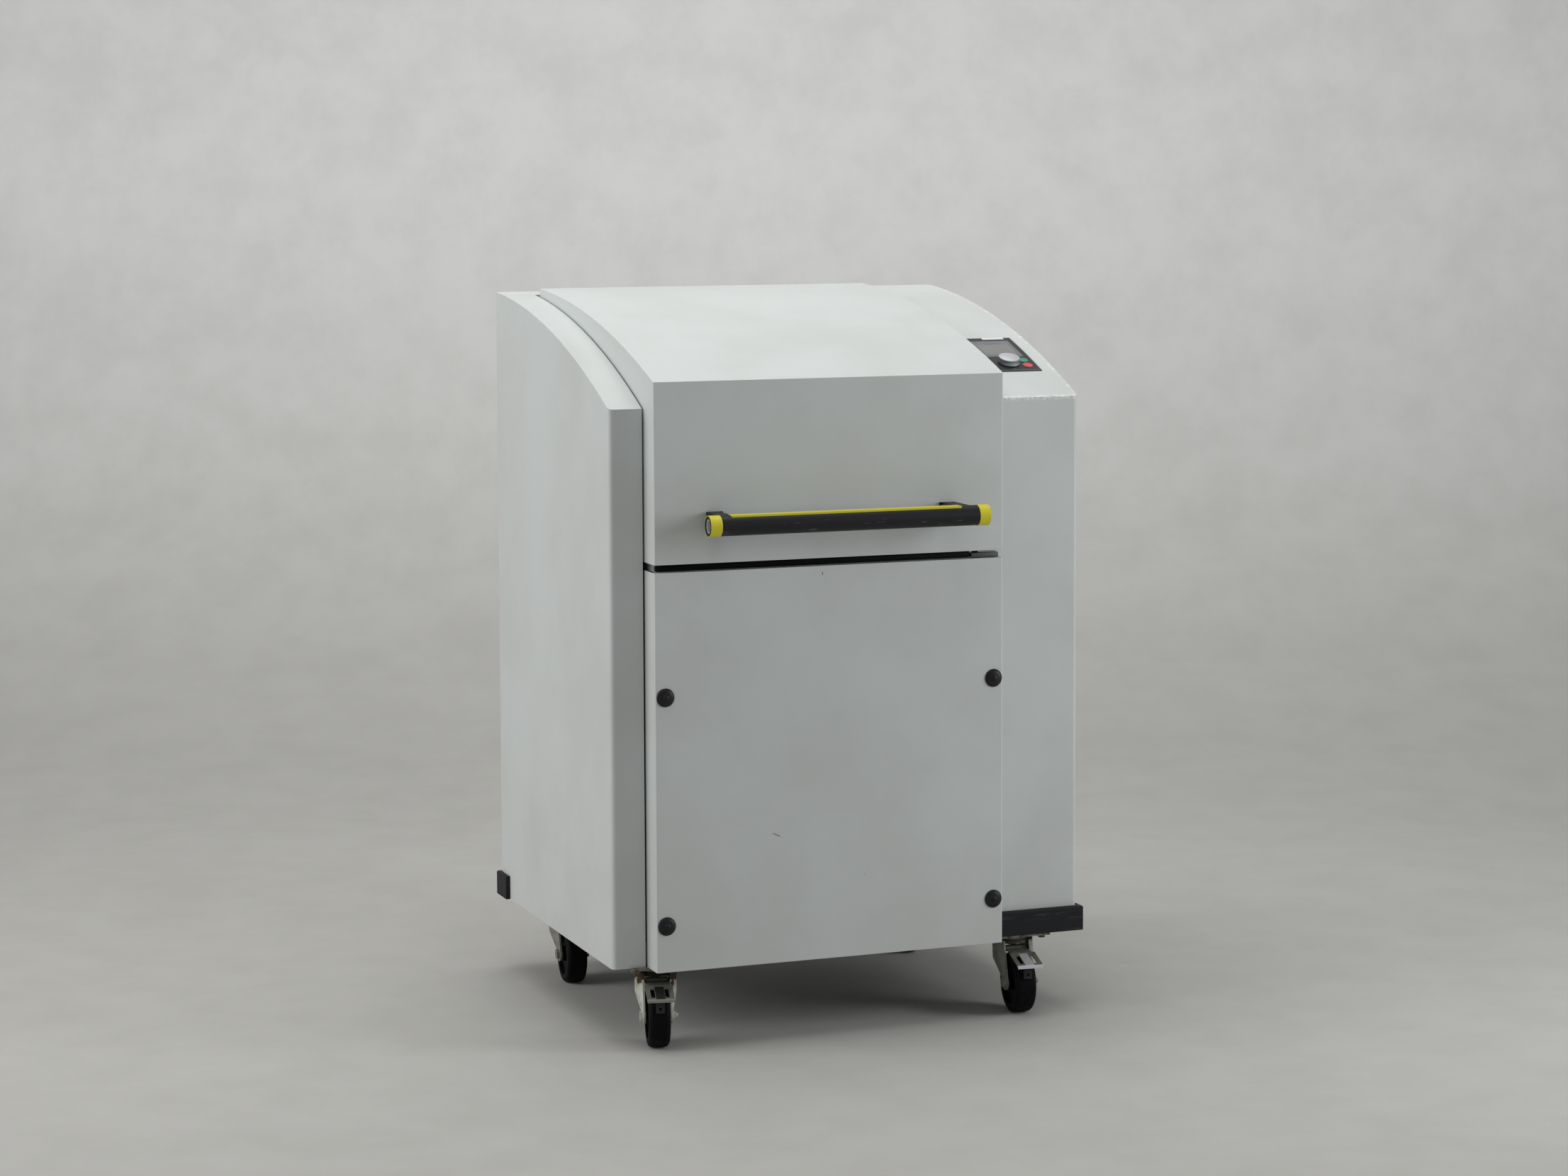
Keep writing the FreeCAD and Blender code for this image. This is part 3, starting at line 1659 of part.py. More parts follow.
def leg_section(side, z, y0, y1, bulge):
    """Level outline of a fork leg: flat inside, two short ends, and a bulged outer face."""
    inner = side * fork_leg_inner
    outer = side * fork_leg_outer
    front_inner = vec(inner, y0, z)
    front_outer = vec(outer, y0, z)
    middle = vec(outer + side * bulge, (y0 + y1) / 2, z)
    back_outer = vec(outer, y1, z)
    back_inner = vec(inner, y1, z)
    return Part.Wire(
        [
            Part.makeLine(front_inner, front_outer),
            Part.Arc(front_outer, middle, back_outer).toShape(),
            Part.makeLine(back_outer, back_inner),
            Part.makeLine(back_inner, front_inner),
        ]
    )


def caster_wheel():
    """Tyre with rounded shoulders on a recessed rim with a hub and a plain bore."""
    half = wheel_width / 2
    axis_y = -caster_trail
    body = rod(wheel_radius, vec(-half, axis_y, wheel_radius), vec(half, axis_y, wheel_radius))
    around = 2 * math.pi * wheel_radius
    rims = [edge for edge in body.Edges if abs(edge.Length - around) < wheel_shoulder]
    body = body.makeFillet(wheel_shoulder, rims)
    cuts = []
    for side in (-1, 1):
        start = vec(side * (half - rim_recess), axis_y, wheel_radius)
        end = vec(side * (half + overrun), axis_y, wheel_radius)
        cuts.append(rod(rim_radius, start, end).cut(rod(wheel_hub_radius, start, end)))
    cuts.append(
        rod(
            axle_radius + running_clearance,
            vec(-half - overrun, axis_y, wheel_radius),
            vec(half + overrun, axis_y, wheel_radius),
        )
    )
    return body.cut(cuts)


def brake_pin():
    """The pin between the fork legs that a toe pedal turns on."""
    place = (-pedal_pin_reach, pedal_pin_height)
    return rod(pedal_pin_radius, vec(-fork_leg_inner, *place), vec(fork_leg_inner, *place))


def brake_pedal():
    """Folded toe pedal: an eye on the pin, a bridge with a shoe on the tyre, and a toe plate."""
    half = wheel_width / 2
    pin = (-pedal_pin_reach, pedal_pin_height)
    slope_y = pedal_toe_reach - pedal_knee_reach
    slope_z = pedal_knee_height - pedal_toe_height
    length = math.hypot(slope_y, slope_z)
    under_y = pedal_sheet * slope_z / length
    under_z = -pedal_sheet * slope_y / length
    knee = (-pedal_knee_reach, pedal_knee_height)
    toe = (-pedal_toe_reach, pedal_toe_height)
    knee_under = (knee[0] + under_y, knee[1] + under_z)
    toe_under = (toe[0] + under_y, toe[1] + under_z)
    bridge = plate_yz(
        [
            (pin[0], pedal_knee_height),
            knee,
            knee_under,
            (pin[0], pedal_knee_height - pedal_sheet),
        ],
        -half,
        half,
    )
    lip = [(toe[0], toe[1] - pedal_lip), (toe_under[0], toe[1] - pedal_lip)]
    toe_plate = plate_yz([knee, toe] + lip + [toe_under, knee_under], -pedal_width / 2, pedal_width / 2)
    shoe = box(
        -pedal_shoe_width / 2,
        pedal_shoe_width / 2,
        -pedal_shoe_start - pedal_shoe_length,
        -pedal_shoe_start,
        2 * wheel_radius - wheel_shoulder,
        pedal_knee_height - pedal_sheet / 2,
    )
    tyre = rod(
        wheel_radius + pedal_shoe_clearance,
        vec(-wheel_width, -caster_trail, wheel_radius),
        vec(wheel_width, -caster_trail, wheel_radius),
    )
    eye = rod(pedal_ear_radius, vec(-half, *pin), vec(half, *pin))
    bore = rod(
        pedal_pin_radius + pedal_pin_clearance, vec(-half - overrun, *pin), vec(half + overrun, *pin)
    )
    pedal = join([bridge, toe_plate, eye, shoe.cut(tyre), pedal_tab()])
    return pedal.cut([bore] + pedal_slots())


def pedal_slots():
    """Two slots in the toe plate, one on each side of its middle tongue."""
    slots = []
    for side in (-1, 1):
        inner = side * pedal_tongue_width / 2
        outer = inner + side * pedal_slot_width
        slots.append(
            box(
                min(inner, outer),
                max(inner, outer),
                -pedal_toe_reach + pedal_slot_end,
                -pedal_toe_reach + pedal_slot_end + pedal_slot_length,
                pedal_toe_height - pedal_sheet,
                pedal_knee_height + overrun,
            )
        )
    return slots


def pedal_tab():
    """The tab with a hole that hangs from the toe plate in front of the tyre."""
    half = pedal_tab_width / 2
    front = -pedal_tab_reach
    back = front + pedal_tab_thickness
    fall = (pedal_knee_height - pedal_toe_height) / (pedal_toe_reach - pedal_knee_reach)
    top = pedal_knee_height - (pedal_tab_reach - pedal_knee_reach) * fall - pedal_sheet / 2
    tab = box(-half, half, front, back, pedal_tab_bottom, top)
    hole_z = pedal_tab_bottom + half
    hole = rod(pedal_tab_bore_radius, vec(0, front - overrun, hole_z), vec(0, back + overrun, hole_z))
    return tab.cut(hole)


def caster_plates():
    plates = [turned(caster_plate(), x, y, 0) for name, x, y, turn in caster_places()]
    return Part.makeCompound(plates)


def export_casters():
    fork = caster_fork()
    wheel = caster_wheel()
    for name, x, y, turn in caster_places():
        braked = name.startswith("front")
        frame = join([fork, brake_pin()]) if braked else fork
        export("caster_fork_" + name, turned(frame, x, y, turn))
        export("caster_wheel_" + name, turned(wheel, x, y, turn))
        if braked:
            export("brake_pedal_" + name, turned(brake_pedal(), x, y, turn))


def export_all():
    os.makedirs("parts", exist_ok=True)
    start_key, stop_key = key_places()
    export("base_frame", base_frame())
    export("left_side_cover", left_side_cover())
    export("right_side_cover", right_side_cover())
    export("rear_cover", rear_cover())
    export("front_panel", front_panel())
    export("cover_caps", cover_caps())
    export("corner_bumpers", corner_bumpers())
    export("chamber_tub", chamber_tub())
    export("drive_plate", drive_plate())
    export("fixed_pulley", fixed_pulley())
    export("motor", motor())
    export("drive_belt", drive_belt())
    export("control_panel", control_panel())
    export("inverter_box", inverter_box())
    export("power_inlet", power_inlet())
    export("hinge_pins", hinge_pins())
    export("lid_lock", lid_lock())
    export("caster_plates", caster_plates())
    export("hood_shell", hood_shell())
    export("handle_tube", handle_tube())
    export("handle_trim", handle_trim())
    export("handle_feet", handle_feet())
    export("hood_brackets", hood_brackets())
    export("lock_bolt", lock_bolt())
    export("selector_shaft", selector_shaft())
    export("selector_knob", selector_knob())
    export("start_key", key(start_key))
    export("stop_key", key(stop_key))
    export("mains_switch", mains_switch())
    export("motor_pulley", motor_pulley())
    export("main_shaft", main_shaft())
    export("sun_wheel", sun_wheel())
    export("planet_bearings", planet_bearings())
    export("planet_belts", planet_belts())
    for index in range(station_count):
        number = str(index + 1)
        export("jar_holder_" + number, jar_holder(index))
        export("grinding_jar_" + number, grinding_jar(index))
        export("jar_lid_" + number, jar_lid(index))
        export("clamp_screw_" + number, clamp_screw(index))
    export_casters()


export_all()
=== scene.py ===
# %% [markdown]
# # A planetary ball mill on casters
# The machine is a sheet metal cabinet with a wide hood in front. Under the hood a sun wheel
# carries four clamped grinding jars. The solids, their places and their joints come from the
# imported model, so this file only dresses them: rounded sheet edges, moulded caps, tyres,
# screws and finishes.

import json
import math

import bmesh
import bpy
from mathutils import Matrix, Vector
from mathutils.bvhtree import BVHTree


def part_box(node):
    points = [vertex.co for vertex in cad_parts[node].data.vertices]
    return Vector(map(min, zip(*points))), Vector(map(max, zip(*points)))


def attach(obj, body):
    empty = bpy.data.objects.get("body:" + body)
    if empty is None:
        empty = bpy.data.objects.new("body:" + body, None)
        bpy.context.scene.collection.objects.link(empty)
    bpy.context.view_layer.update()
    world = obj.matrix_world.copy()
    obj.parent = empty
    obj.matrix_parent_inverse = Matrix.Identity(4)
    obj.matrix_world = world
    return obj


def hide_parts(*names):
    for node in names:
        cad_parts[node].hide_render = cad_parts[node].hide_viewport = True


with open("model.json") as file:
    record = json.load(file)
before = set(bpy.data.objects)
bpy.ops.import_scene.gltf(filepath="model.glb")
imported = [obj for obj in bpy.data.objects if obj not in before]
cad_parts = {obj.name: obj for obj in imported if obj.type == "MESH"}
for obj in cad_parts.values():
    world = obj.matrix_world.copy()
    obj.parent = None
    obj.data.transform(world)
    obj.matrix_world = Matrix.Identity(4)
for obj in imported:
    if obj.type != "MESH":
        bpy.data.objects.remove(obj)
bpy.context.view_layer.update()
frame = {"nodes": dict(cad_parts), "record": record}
nodes = frame["nodes"]

# %% [markdown]
# ## The camera
# The photograph was taken from the front left, from a little above the hood, with a long
# lens. The camera's place, turns and lens shift were worked out from the cabinet's corners, so
# the render and the photograph lie on each other.

# %% Camera
PHOTO_WIDTH = 2212
PHOTO_HEIGHT = 1659
SENSOR_WIDTH = 36.0
focal_pixels = 5067.61
axis_x, axis_y = 1212.01, 638.52
camera_place = (-2.12589, -5.68336, 1.44683)
yaw, pitch, roll = 0.37634, 0.08503, -0.00190
ahead = (math.sin(yaw) * math.cos(pitch), math.cos(yaw) * math.cos(pitch), -math.sin(pitch))
forward = Vector(ahead)
level_right = Vector((math.cos(yaw), -math.sin(yaw), 0.0))
level_up = level_right.cross(forward)
right = math.cos(roll) * level_right + math.sin(roll) * level_up
up = math.cos(roll) * level_up - math.sin(roll) * level_right

camera_data = bpy.data.cameras.new("camera")
camera_data.sensor_width = SENSOR_WIDTH
camera_data.lens = focal_pixels / PHOTO_WIDTH * camera_data.sensor_width
camera_data.shift_x = 0.5 - axis_x / PHOTO_WIDTH
camera_data.shift_y = (axis_y - PHOTO_HEIGHT / 2) / PHOTO_WIDTH
camera_data.clip_end = 60.0
camera = bpy.data.objects.new("camera", camera_data)
bpy.context.scene.collection.objects.link(camera)
turn = Matrix((right, up, -forward)).transposed().to_4x4()
camera.matrix_world = Matrix.Translation(camera_place) @ turn
bpy.context.scene.camera = camera
print("lens", round(camera_data.lens, 2), "mm")

# %% [markdown]
# ## Shader maths
# Node trees read best as formulas. A `Value` holds one output socket, and Python's operators
# on it add Math nodes, so `1 - mask * 0.3` builds the nodes that it says. A `Finish` is one
# material with its Principled shader, and makes any other node from its type, its settings
# and its inputs.


# %% Value and Finish
class Value:
    """One output socket that can be calculated with."""

    def __init__(self, finish, socket):
        self.finish = finish
        self.socket = socket

    def __add__(self, other):
        return self.finish.math("ADD", self, other)

    def __sub__(self, other):
        return self.finish.math("SUBTRACT", self, other)

    def __mul__(self, other):
        return self.finish.math("MULTIPLY", self, other)

    def __truediv__(self, other):
        return self.finish.math("DIVIDE", self, other)

    def __pow__(self, other):
        return self.finish.math("POWER", self, other)

    def __rsub__(self, other):
        return self.finish.math("SUBTRACT", other, self)

    def __gt__(self, other):
        return self.finish.math("GREATER_THAN", self, other)

    def __lt__(self, other):
        return self.finish.math("LESS_THAN", self, other)

    __radd__ = __add__
    __rmul__ = __mul__

    def __abs__(self):
        return self.finish.math("ABSOLUTE", self, 0.0)

    def step(self, low, high):
        """0 under low, 1 over high, and smooth between."""
        settings = {"interpolation_type": "SMOOTHSTEP"}
        ends = {"From Min": low, "From Max": high}
        return self.finish.node("MapRange", settings, "Result", Value=self, **ends)


class Finish:
    """A material with one Principled shader, and short ways to add nodes to it."""

    def __init__(self, name, colour, roughness=0.5, metallic=0.0, **sockets):
        self.material = bpy.data.materials.new(name)
        self.material.use_nodes = True
        self.tree = self.material.node_tree
        self.shader = self.tree.nodes["Principled BSDF"]
        self.shader.inputs["Base Color"].default_value = (*colour, 1.0)
        self.shader.inputs["Roughness"].default_value = roughness
        self.shader.inputs["Metallic"].default_value = metallic
        for socket, value in sockets.items():
            self.shader.inputs[socket.replace("_", " ")].default_value = value

    def node(self, kind, settings=None, out=0, **inputs):
        """Adds a node: its settings first, then its inputs, and gives one output."""
        node = self.tree.nodes.new("ShaderNode" + kind)
        for name, value in (settings or {}).items():
            setattr(node, name, value)
        for name, value in inputs.items():
            self.put(value, node.inputs[name])
        return Value(self, node.outputs[out])

    def put(self, value, socket):
        """Links a value to a socket, or sets a number or a colour."""
        if isinstance(value, Value):
            self.tree.links.new(value.socket, socket)
        elif isinstance(value, tuple) and len(value) == 3 and socket.type == "RGBA":
            socket.default_value = (*value, 1.0)
        else:
            socket.default_value = value

    def math(self, operation, first, second):
        """A Math node on two values or numbers."""
        node = self.tree.nodes.new("ShaderNodeMath")
        node.operation = operation
        self.put(first, node.inputs[0])
        self.put(second, node.inputs[1])
        return Value(self, node.outputs[0])

    def mix(self, factor, first, second):
        """A colour between two colours."""
        node = self.tree.nodes.new("ShaderNodeMix")
        node.data_type = "RGBA"
        self.put(factor, node.inputs[0])
        self.put(first, node.inputs[6])
        self.put(second, node.inputs[7])
        return Value(self, node.outputs[2])

    def place(self):
        """Object coordinates: metres from the origin of the whole machine."""
        return self.node("TexCoord", out="Object")

    def axis(self, name):
        """One of the Object coordinates."""
        return self.node("SeparateXYZ", out=name, Vector=self.place())

    def noise(self, scale, detail=2.0, roughness=0.5, stretch=(1.0, 1.0, 1.0)):
        """Noise of so many features to a metre, drawn out or pressed along each axis."""
        where = self.node("Mapping", {"vector_type": "TEXTURE"}, Vector=self.place(), Scale=stretch)
        return self.node("TexNoise", Vector=where, Scale=scale, Detail=detail, Roughness=roughness)

    def show(self, **sockets):
        """Links values to the shader's own sockets."""
        for name, value in sockets.items():
            self.put(value, self.shader.inputs[name.replace("_", " ")])

    def bump(self, height, distance, strength=0.5):
        """A relief that is so many metres deep."""
        normal = self.node("Bump", out="Normal", Height=height, Distance=distance, Strength=strength)
        self.show(Normal=normal)


# %% [markdown]
# ## Light grey powder coat
# The covers are bent sheet with a fine textured powder coat. It is almost matt, with a grain
# of about a millimetre, a faint unevenness over a hand's width and dust towards the floor. One
# formula makes it for every cover, and each cover adds its own marks.

# %% Cabinet paint
PAINT = (0.605, 0.632, 0.622)
PAINT_SHADE = (0.565, 0.585, 0.565)
DUST = (0.40, 0.38, 0.33)
DUST_TOP = 0.42


def coat(name, marks=None):
    """Textured paint; marks is a function that gives masks of worn spots and their colours."""
    finish = Finish(name, PAINT, roughness=0.5, Specular_IOR_Level=0.45)
    grain = finish.noise(750.0, 3.0, 0.6)
    cloud = finish.noise(4.5, 4.0, 0.55)
    dust = 1.0 - finish.axis("Z").step(0.10, DUST_TOP)
    tone = finish.mix(cloud.step(0.35, 0.7), PAINT, PAINT_SHADE)
    tone = finish.mix(dust * 0.16 * cloud, tone, DUST)
    if marks:
        for mask, colour in marks(finish):
            tone = finish.mix(mask, tone, colour)
    finish.show(Base_Color=tone, Roughness=0.44 + grain * 0.14 + dust * 0.08)
    finish.bump(grain, 0.00012, 0.55)
    return finish.material


print("paint", PAINT)

# %% [markdown]
# Years of use left a few marks: a short scratch, a dark speck and a smudge on the lower panel,
# a rub on the hood, and chipped edges where the right pod's roof meets its front. A mark is a
# mask from distances in object coordinates, broken up by noise, so it stays at its place on
# the sheet.

# %% Marks on the paint
SCRATCH = ((-0.1555, 0.3437), (-0.1246, 0.3298), 0.0016)
SPECK = ((-0.0662, 0.7632), (-0.0658, 0.7585), 0.0010)
SMUDGE = ((0.006, 0.262), (0.010, 0.272), 0.0012)
HOOD_RUB = ((0.120, 0.842), (0.150, 0.846), 0.0020)
POD_FRONT = -0.2605
CREST = (1.0255, 1.0295)
POD_SIDE = (0.4025, 0.4070)
ROOF_START = (1.02, 1.045)


def near_line(finish, start, end, width):
    """1 along a short line on a front face, from (x, z) to (x, z), and 0 away from it."""
    x = finish.axis("X") - start[0]
    z = finish.axis("Z") - start[1]
    run = Vector((end[0] - start[0], end[1] - start[1]))
    length = run.length
    along = (x * run.x + z * run.y) / length
    across = abs((x * run.y - z * run.x) / length)
    inside = (along > 0.0) * (along < length)
    return inside * (1.0 - across.step(width * 0.4, width))


def panel_marks(finish):
    broken = finish.noise(260.0, 2.0).step(0.42, 0.58)
    scratch = near_line(finish, *SCRATCH) * broken
    speck = near_line(finish, *SPECK)
    smudge = near_line(finish, *SMUDGE) * broken
    return [
        (scratch * 0.75, (0.16, 0.15, 0.20)),
        (speck, (0.10, 0.08, 0.07)),
        (smudge * 0.4, (0.2, 0.2, 0.19)),
    ]


def pod_marks(finish):
    height = finish.axis("Z")
    front = 1.0 - (finish.axis("Y") - POD_FRONT).step(0.0, 0.010)
    side = finish.axis("X").step(*POD_SIDE) * height.step(*ROOF_START)
    flakes = finish.noise(130.0, 4.0, 0.75)
    front_chips = front * height.step(*CREST) * flakes.step(0.47, 0.52)
    chipped = finish.math("MAXIMUM", front_chips, side * flakes.step(0.53, 0.58))
    core = finish.noise(420.0, 2.0).step(0.5, 0.6)
    return [(chipped * 0.9, (0.84, 0.84, 0.81)), (chipped * core * 0.2, (0.36, 0.31, 0.25))]


def hood_marks(finish):
    broken = finish.noise(300.0, 2.0).step(0.45, 0.6)
    rub = near_line(finish, *HOOD_RUB) * broken
    return [(rub * 0.25, (0.35, 0.35, 0.34))]


panel_paint = coat("panel_paint", panel_marks)
pod_paint = coat("pod_paint", pod_marks)
hood_paint = coat("hood_paint", hood_marks)
cover_paint = coat("cover_paint")
print("painted finishes:", 4)

# %% [markdown]
# ## Plastics and rubber
# The cover caps, the handle's feet and the inlet are grained black plastic, and the bumpers
# are a matt rubber profile with grey scuffs. The scuffs come from stretched noise, as things
# slide along a bumper, not across it.

# %% Plastics and rubber
YELLOW = (0.68, 0.62, 0.022)
SCUFF = (0.15, 0.15, 0.145)


def grained(name, colour, roughness=0.5, grain=1400.0, depth=0.00006, specular=0.5):
    """Moulded plastic; grain is its fineness and depth its relief in metres."""
    finish = Finish(name, colour, roughness, Specular_IOR_Level=specular)
    fine = finish.noise(grain, 2.0, 0.55)
    wide = finish.noise(30.0, 3.0, 0.6)
    lighter = tuple(min(1.0, channel * 1.6 + 0.008) for channel in colour)
    finish.show(
        Base_Color=finish.mix(wide.step(0.45, 0.8) * 0.5, colour, lighter),
        Roughness=roughness - 0.06 + fine * 0.14,
    )
    finish.bump(fine, depth, 0.6)
    return finish.material


def scuffed_rubber(name, colour):
    """Matt rubber with grey scuffs."""
    finish = Finish(name, colour, 0.62, Specular_IOR_Level=0.25)
    scuff = finish.noise(60.0, 5.0, 0.7, stretch=(6.0, 6.0, 0.6)).step(0.56, 0.68)
    fine = finish.noise(900.0, 2.0)
    finish.show(
        Base_Color=finish.mix(scuff * 0.22, colour, SCUFF),
        Roughness=0.55 + scuff * 0.2 + fine * 0.08,
    )
    finish.bump(fine + scuff * 0.6, 0.0001, 0.6)
    return finish.material


black_plastic = grained("black_plastic", (0.009, 0.009, 0.011), 0.45, specular=0.28)
grey_plastic = grained("grey_plastic", (0.23, 0.24, 0.245), 0.5)
green_key = grained("green_key", (0.055, 0.25, 0.165), 0.4, 2200.0, 0.00003)
red_key = grained("red_key", (0.56, 0.075, 0.07), 0.4, 2200.0, 0.00003)
bumper_rubber = scuffed_rubber("bumper_rubber", (0.009, 0.0095, 0.012))
belt_rubber = scuffed_rubber("belt_rubber", (0.012, 0.012, 0.012))
print("plastics and rubber ready")

# %% [markdown]
# ## Metals
# Turned and brushed steel shows fine lines, so its noise is stretched. A casting has a coarse
# skin, bare or under its primer.


# %% Metals
def machined(name, colour, roughness=0.28, stretch=(1.0, 1.0, 0.04)):
    """Bare steel with fine lines; the lines run across the axis with the small stretch."""
    finish = Finish(name, colour, roughness, 1.0)
    lines = finish.noise(700.0, 3.0, 0.6, stretch)
    wide = finish.noise(18.0, 3.0)
    darker = tuple(channel * 0.82 for channel in colour)
    finish.show(
        Base_Color=finish.mix(wide.step(0.3, 0.8), colour, darker),
        Roughness=roughness - 0.05 + lines * 0.16,
    )
    finish.bump(lines, 0.00003)
    return finish.material


def cast(name, colour, metallic=0.0, roughness=0.55):
    """A casting or a thick enamel with a coarse skin."""
    finish = Finish(name, colour, roughness, metallic)
    skin = finish.noise(420.0, 4.0, 0.65)
    wide = finish.noise(12.0, 3.0)
    lighter = tuple(min(1.0, channel * 1.25) for channel in colour)
    finish.show(
        Base_Color=finish.mix(wide, colour, lighter),
        Roughness=roughness - 0.08 + skin * 0.2,
    )
    finish.bump(skin, 0.0002)
    return finish.material


steel = machined("steel", (0.52, 0.52, 0.53))
stainless = machined("stainless", (0.68, 0.68, 0.675), 0.36, (0.05, 1.0, 1.0))
jar_steel = machined("jar_steel", (0.70, 0.70, 0.70), 0.27, (1.0, 1.0, 0.03))
cast_iron = cast("cast_iron", (0.12, 0.13, 0.14))
cast_aluminium = cast("cast_aluminium", (0.62, 0.63, 0.64), 1.0, 0.4)
motor_enamel = cast("motor_enamel", (0.09, 0.12, 0.15), 0.0, 0.42)
frame_paint = cast("frame_paint", (0.075, 0.08, 0.085), 0.0, 0.5)
print("metals ready")

# %% [markdown]
# ## Tarnished casters
# The casters' plating has gone dull and chalky, with dark brown rust that creeps down from the
# swivel. The plates are dark partly from rust and partly as painted shade, the forks carry
# painted shade between their legs, and the pedals carry painted shade and painted highlights.
# Each front caster is turned its own way, so its marks go by its own plane: how far a place lies
# beside that plane, and how far it reaches from the swivel's axis to the wheel's side. The two
# joints give the plane.

# %% Tarnished zinc
RUST = (0.075, 0.043, 0.018)
RUBBER_TAB = (0.012, 0.012, 0.012)
RUST_RISE = (0.085, 0.122)
LEG_INNER = 0.0205
TONGUE_HALF = 0.0075
TONGUE_START = 0.062
LIP_START = 0.1025
TAB_TOP = 0.0865
TAB_END = 0.0955
joint_of = {joint["name"]: joint for joint in frame["record"]["behaviour"]["joints"]}


def tarnished(name, skin, rust_low, creeping=0.16):
    """A finish with rust near the swivel, and its colour for more marks."""
    finish = Finish(name, skin, 0.6, 0.2)
    blotch = finish.noise(85.0, 5.0, 0.62)
    creep = finish.noise(60.0, 6.0, 0.7) + finish.axis("Z").step(*RUST_RISE) * creeping
    rust = creep.step(rust_low, rust_low + 0.08)
    darker = tuple(channel * 0.62 for channel in skin)
    tone = finish.mix(rust, finish.mix(blotch.step(0.4, 0.75), skin, darker), RUST)
    finish.show(Base_Color=tone, Roughness=0.48 + blotch * 0.2 + rust * 0.2)
    finish.bump(blotch * 0.4 + rust, 0.00015)
    return finish, tone


def caster_plane(finish, corner):
    """Distances beside a caster's own plane, and along it from the swivel's axis."""
    swivel = Vector(joint_of["swivel_" + corner]["pos_m"][:2])
    wheel = Vector(joint_of["wheel_" + corner]["pos_m"][:2])
    along = (wheel - swivel).normalized()
    x = finish.axis("X") - swivel.x
    y = finish.axis("Y") - swivel.y
    return abs(x * along.y - y * along.x), x * along.x + y * along.y


def fork_skin(corner, skin, rust_low, creeping, inside):
    """A fork, with painted shade between its legs."""
    finish, tone = tarnished("fork_" + corner, skin, rust_low, creeping)
    beside = caster_plane(finish, corner)[0]
    # Between the legs, near the fork's plane, the inside colour is painted shade.
    finish.show(Base_Color=finish.mix(beside < LEG_INNER, tone, inside))
    return finish.material


def pedal_skin(corner, skin, tongue_painted_light, lip_highlight):
    """A brake pedal with painted light on its tongue, a painted highlight on its lip and a dark tab.
    """
    finish, tone = tarnished("pedal_" + corner, skin, 0.74)
    beside, reach = caster_plane(finish, corner)
    # The tongue's tone is painted light: painted shade on the left pedal, a painted highlight on the
    # right.
    tone = finish.mix((beside < TONGUE_HALF) * (reach > TONGUE_START), tone, tongue_painted_light)
    # The lip's lighter tone is a painted highlight.
    tone = finish.mix(reach > LIP_START, tone, lip_highlight)
    tab = (finish.axis("Z") < TAB_TOP) * (reach < TAB_END)
    finish.show(Base_Color=finish.mix(tab, tone, RUBBER_TAB))
    return finish.material


# The caster plates' dark skin is partly rust and partly painted shade under the cabinet.
rust_and_shade_plate = tarnished("rust_and_shade_plate", (0.21, 0.20, 0.165), 0.68)[0].material
dull_fork = tarnished("dull_fork", (0.27, 0.265, 0.225), 0.70)[0].material
# Each front fork's inside colour is painted shade between its legs.
left_fork = fork_skin("front_left", (0.62, 0.62, 0.55), 0.66, 0.42, inside=(0.012, 0.010, 0.007))
right_fork = fork_skin("front_right", (0.29, 0.285, 0.25), 0.70, 0.16, inside=(0.05, 0.045, 0.035))
# The left tongue is painted shade, the right tongue a painted highlight; both lips are painted
# highlights.
left_pedal = pedal_skin(
    "front_left", (0.13, 0.13, 0.105), tongue_painted_light=(0.006, 0.005, 0.004), lip_highlight=(0.24, 0.24, 0.21)
)
right_pedal = pedal_skin(
    "front_right", (0.12, 0.12, 0.095), tongue_painted_light=(0.36, 0.36, 0.37), lip_highlight=(0.62, 0.62, 0.66)
)
print("caster finishes ready")

# %% [markdown]
# The selector knob is satin silver plastic: its crown catches the light and its rim is darker,
# so the finish goes by the distance from the knob's axis.

# %% Selector knob
SILVER = (0.52, 0.54, 0.555)
KNOB_RIM = (0.20, 0.215, 0.22)
RIM_START = (0.0168, 0.0182)
knob_low, knob_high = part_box("selector_knob")
knob_centre = (knob_low + knob_high) / 2
knob = Finish("silver", SILVER, 0.42, 0.35)
knob_x = knob.axis("X") - knob_centre.x
knob_y = knob.axis("Y") - knob_centre.y
knob_reach = (knob_x * knob_x + knob_y * knob_y) ** 0.5
knob_grain = knob.noise(1600.0, 2.0)
knob.show(
    Base_Color=knob.mix(knob_reach.step(*RIM_START), SILVER, KNOB_RIM),
    Roughness=0.38 + knob_grain * 0.14,
)
knob.bump(knob_grain, 0.00003)
silver = knob.material

# %% [markdown]
# The handle's tube is satin black with a few light rubs where rings and tools touched it. The
# rubs run along the tube, so the noise is stretched along X and kept to a band of its height.

# %% Handle tube
SATIN_BLACK = (0.007, 0.007, 0.009)
RUBBED = (0.25, 0.26, 0.28)
BAND_LOW = (0.838, 0.843)
BAND_HIGH = (0.853, 0.860)
tube_finish = Finish("handle_black", SATIN_BLACK, 0.45, Specular_IOR_Level=0.35)
rub = tube_finish.noise(150.0, 5.0, 0.7, stretch=(7.0, 1.0, 1.0))
fine = tube_finish.noise(1500.0, 2.0)
height = tube_finish.axis("Z")
band = height.step(*BAND_LOW) * (1.0 - height.step(*BAND_HIGH))
worn = rub.step(0.60, 0.67) * band
tube_finish.show(
    Base_Color=tube_finish.mix(worn * 0.35, SATIN_BLACK, RUBBED),
    Roughness=0.42 + fine * 0.1 + worn * 0.25,
)
tube_finish.bump(fine, 0.00004)
handle_black = tube_finish.material

# %% [markdown]
# The collars and the inlay are yellow, and the same node holds the tube's two end plugs. A
# plug is grey with a lighter ring at its rim, so the finish goes by the distance from the
# tube's axis.

